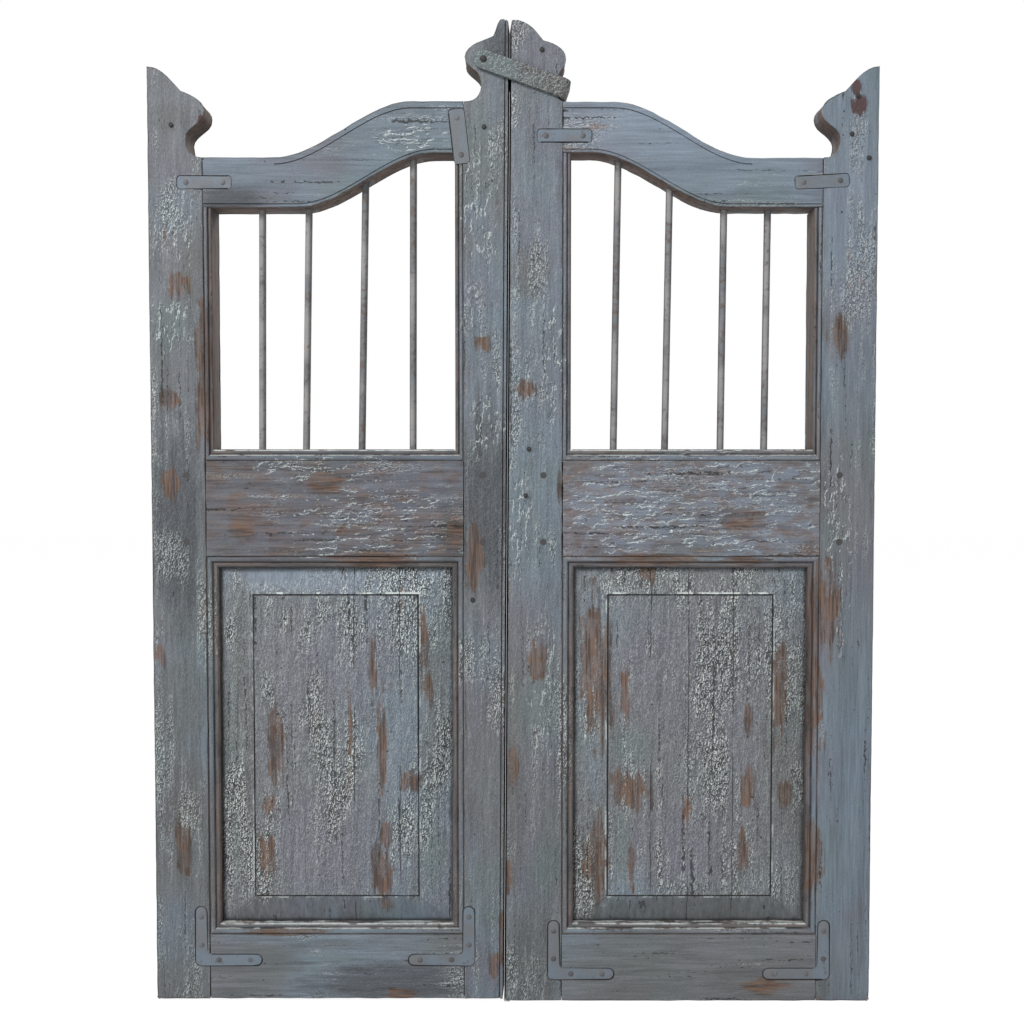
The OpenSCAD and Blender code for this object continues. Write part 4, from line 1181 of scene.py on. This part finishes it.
class DOORPAIR_OT_stage(Operator):
    """Sets the floor, the light and the camera"""

    bl_idname = "doorpair.stage"
    bl_label = "Stage"

    def execute(self, context):
        look = context.scene.stage_look
        select_alone()
        bpy.ops.mesh.primitive_plane_add(size=FLOOR_SIZE, location=(0.0, 0.0, -FLOOR_DROP))
        floor = context.active_object
        floor.name = "studio_floor"
        floor.data.materials.append(self.floor_white(look))
        self.light_world(context, look)
        self.set_lamp(context, "broad_lamp", LAMP_PLACE, look.lamp)
        self.set_lamp(context, "back_lamp", BACK_LAMP_PLACE, look.back_lamp)
        self.set_camera(context)
        context.scene.view_settings.view_transform = "Standard"
        return {"FINISHED"}

    def set_lamp(self, context, name, place, power):
        """A broad lamp that looks at the middle of the leaves and doesn't show."""
        select_alone()
        bpy.ops.object.light_add(type="AREA", location=place)
        lamp = context.active_object
        lamp.name = name
        lamp.visible_camera = False
        lamp.data.shape = "RECTANGLE"
        lamp.data.size, lamp.data.size_y = LAMP_SIZE
        lamp.data.energy = power
        aim = LAMP_AIM - lamp.location
        lamp.rotation_euler = aim.to_track_quat("-Z", "Y").to_euler()

    def floor_white(self, look):
        """Pale floor that shows white, but for a little of the shadow and between the closed leaves."""
        shade = Shade(bpy.data.materials.new("floor_white"))
        matt = shade.add("ShaderNodeBsdfDiffuse", None, {"Color": shade.rgba(look.floor)})
        glow = shade.add("ShaderNodeEmission", None, {"Color": WHITE, "Strength": FLOOR_GLOW})
        x, y = shade.parts(shade.place())[:2]
        gap = shade.step(abs(x - GAP_X), *GAP_ACROSS) * shade.step(abs(y), *GAP_ALONG)
        seen = self.seen(shade) * GLOW_SHARE * (1.0 - gap)
        surface = shade.add("ShaderNodeMixShader", None, {0: seen, 1: matt, 2: glow})
        shade.add("ShaderNodeOutputMaterial", None, {"Surface": surface})
        return shade.owner

    def seen(self, shade):
        """1 for the rays that show the background."""
        camera, gloss, through = (
            shade.add("ShaderNodeLightPath", output=f"Is {ray} Ray")
            for ray in ("Camera", "Glossy", "Transmission")
        )
        return camera.most(gloss).most(through)

    def light_world(self, context, look):
        """Even light from all round, behind a white that shows."""
        world = bpy.data.worlds.new("soft_sky")
        context.scene.world = world
        shade = Shade(world)
        sky = shade.add("ShaderNodeBackground", None, {"Color": WHITE, "Strength": look.sky})
        plain = shade.add("ShaderNodeBackground", None, {"Color": WHITE, "Strength": 1.0})
        both = shade.add("ShaderNodeMixShader", None, {0: self.seen(shade), 1: sky, 2: plain})
        shade.add("ShaderNodeOutputWorld", None, {"Surface": both})

    def set_camera(self, context):
        """The photograph's camera."""
        select_alone()
        place = (CAMERA_X, FACE_Y - CAMERA_BACK, CAMERA_Z)
        turn = (math.pi / 2 - CAMERA_TILT, 0.0, 0.0)
        bpy.ops.object.camera_add(location=place, rotation=turn)
        camera = context.active_object
        camera.name = "photo_camera"
        camera.data.sensor_width = SENSOR_MM
        camera.data.lens = SENSOR_MM * LENS_PX / IMAGE_PX
        context.scene.camera = camera


class DOORPAIR_PT_sidebar(Panel):
    """Lists the steps and the values that they use"""

    bl_label = "Door leaves"
    bl_idname = "DOORPAIR_PT_sidebar"
    bl_space_type = "VIEW_3D"
    bl_region_type = "UI"
    bl_category = "Door leaves"

    def draw(self, context):
        for step in STEPS:
            self.layout.operator(step.bl_idname)
        for name, kind in LOOKS.items():
            box = self.layout.box()
            look = getattr(context.scene, name)
            for key in kind.__annotations__:
                box.prop(look, key)


LOOKS = {
    "timber_look": TimberLook,
    "paint_colours": PaintColours,
    "iron_look": IronLook,
    "strap_look": StrapLook,
    "stage_look": StageLook,
}
STEPS = (
    DOORPAIR_OT_stage,
    DOORPAIR_OT_stiles,
    DOORPAIR_OT_rails,
    DOORPAIR_OT_panels,
    DOORPAIR_OT_bars,
    DOORPAIR_OT_irons,
    DOORPAIR_OT_fasteners,
    DOORPAIR_OT_nails,
    DOORPAIR_OT_hinges,
    DOORPAIR_OT_strap,
)
CLASSES = (*LOOKS.values(), *STEPS, DOORPAIR_PT_sidebar)


def register():
    for kind in CLASSES:
        bpy.utils.register_class(kind)
    for name, kind in LOOKS.items():
        setattr(bpy.types.Scene, name, PointerProperty(type=kind))


def unregister():
    for name in LOOKS:
        delattr(bpy.types.Scene, name)
    for kind in reversed(CLASSES):
        bpy.utils.unregister_class(kind)


def main():
    register()
    bpy.ops.doorpair.stage()
    bpy.ops.doorpair.stiles()
    bpy.ops.doorpair.rails()
    bpy.ops.doorpair.panels()
    bpy.ops.doorpair.bars()
    bpy.ops.doorpair.irons()
    bpy.ops.doorpair.fasteners()
    bpy.ops.doorpair.nails()
    bpy.ops.doorpair.hinges()
    bpy.ops.doorpair.strap()
    select_alone()


if __name__ == "__main__":
    main()
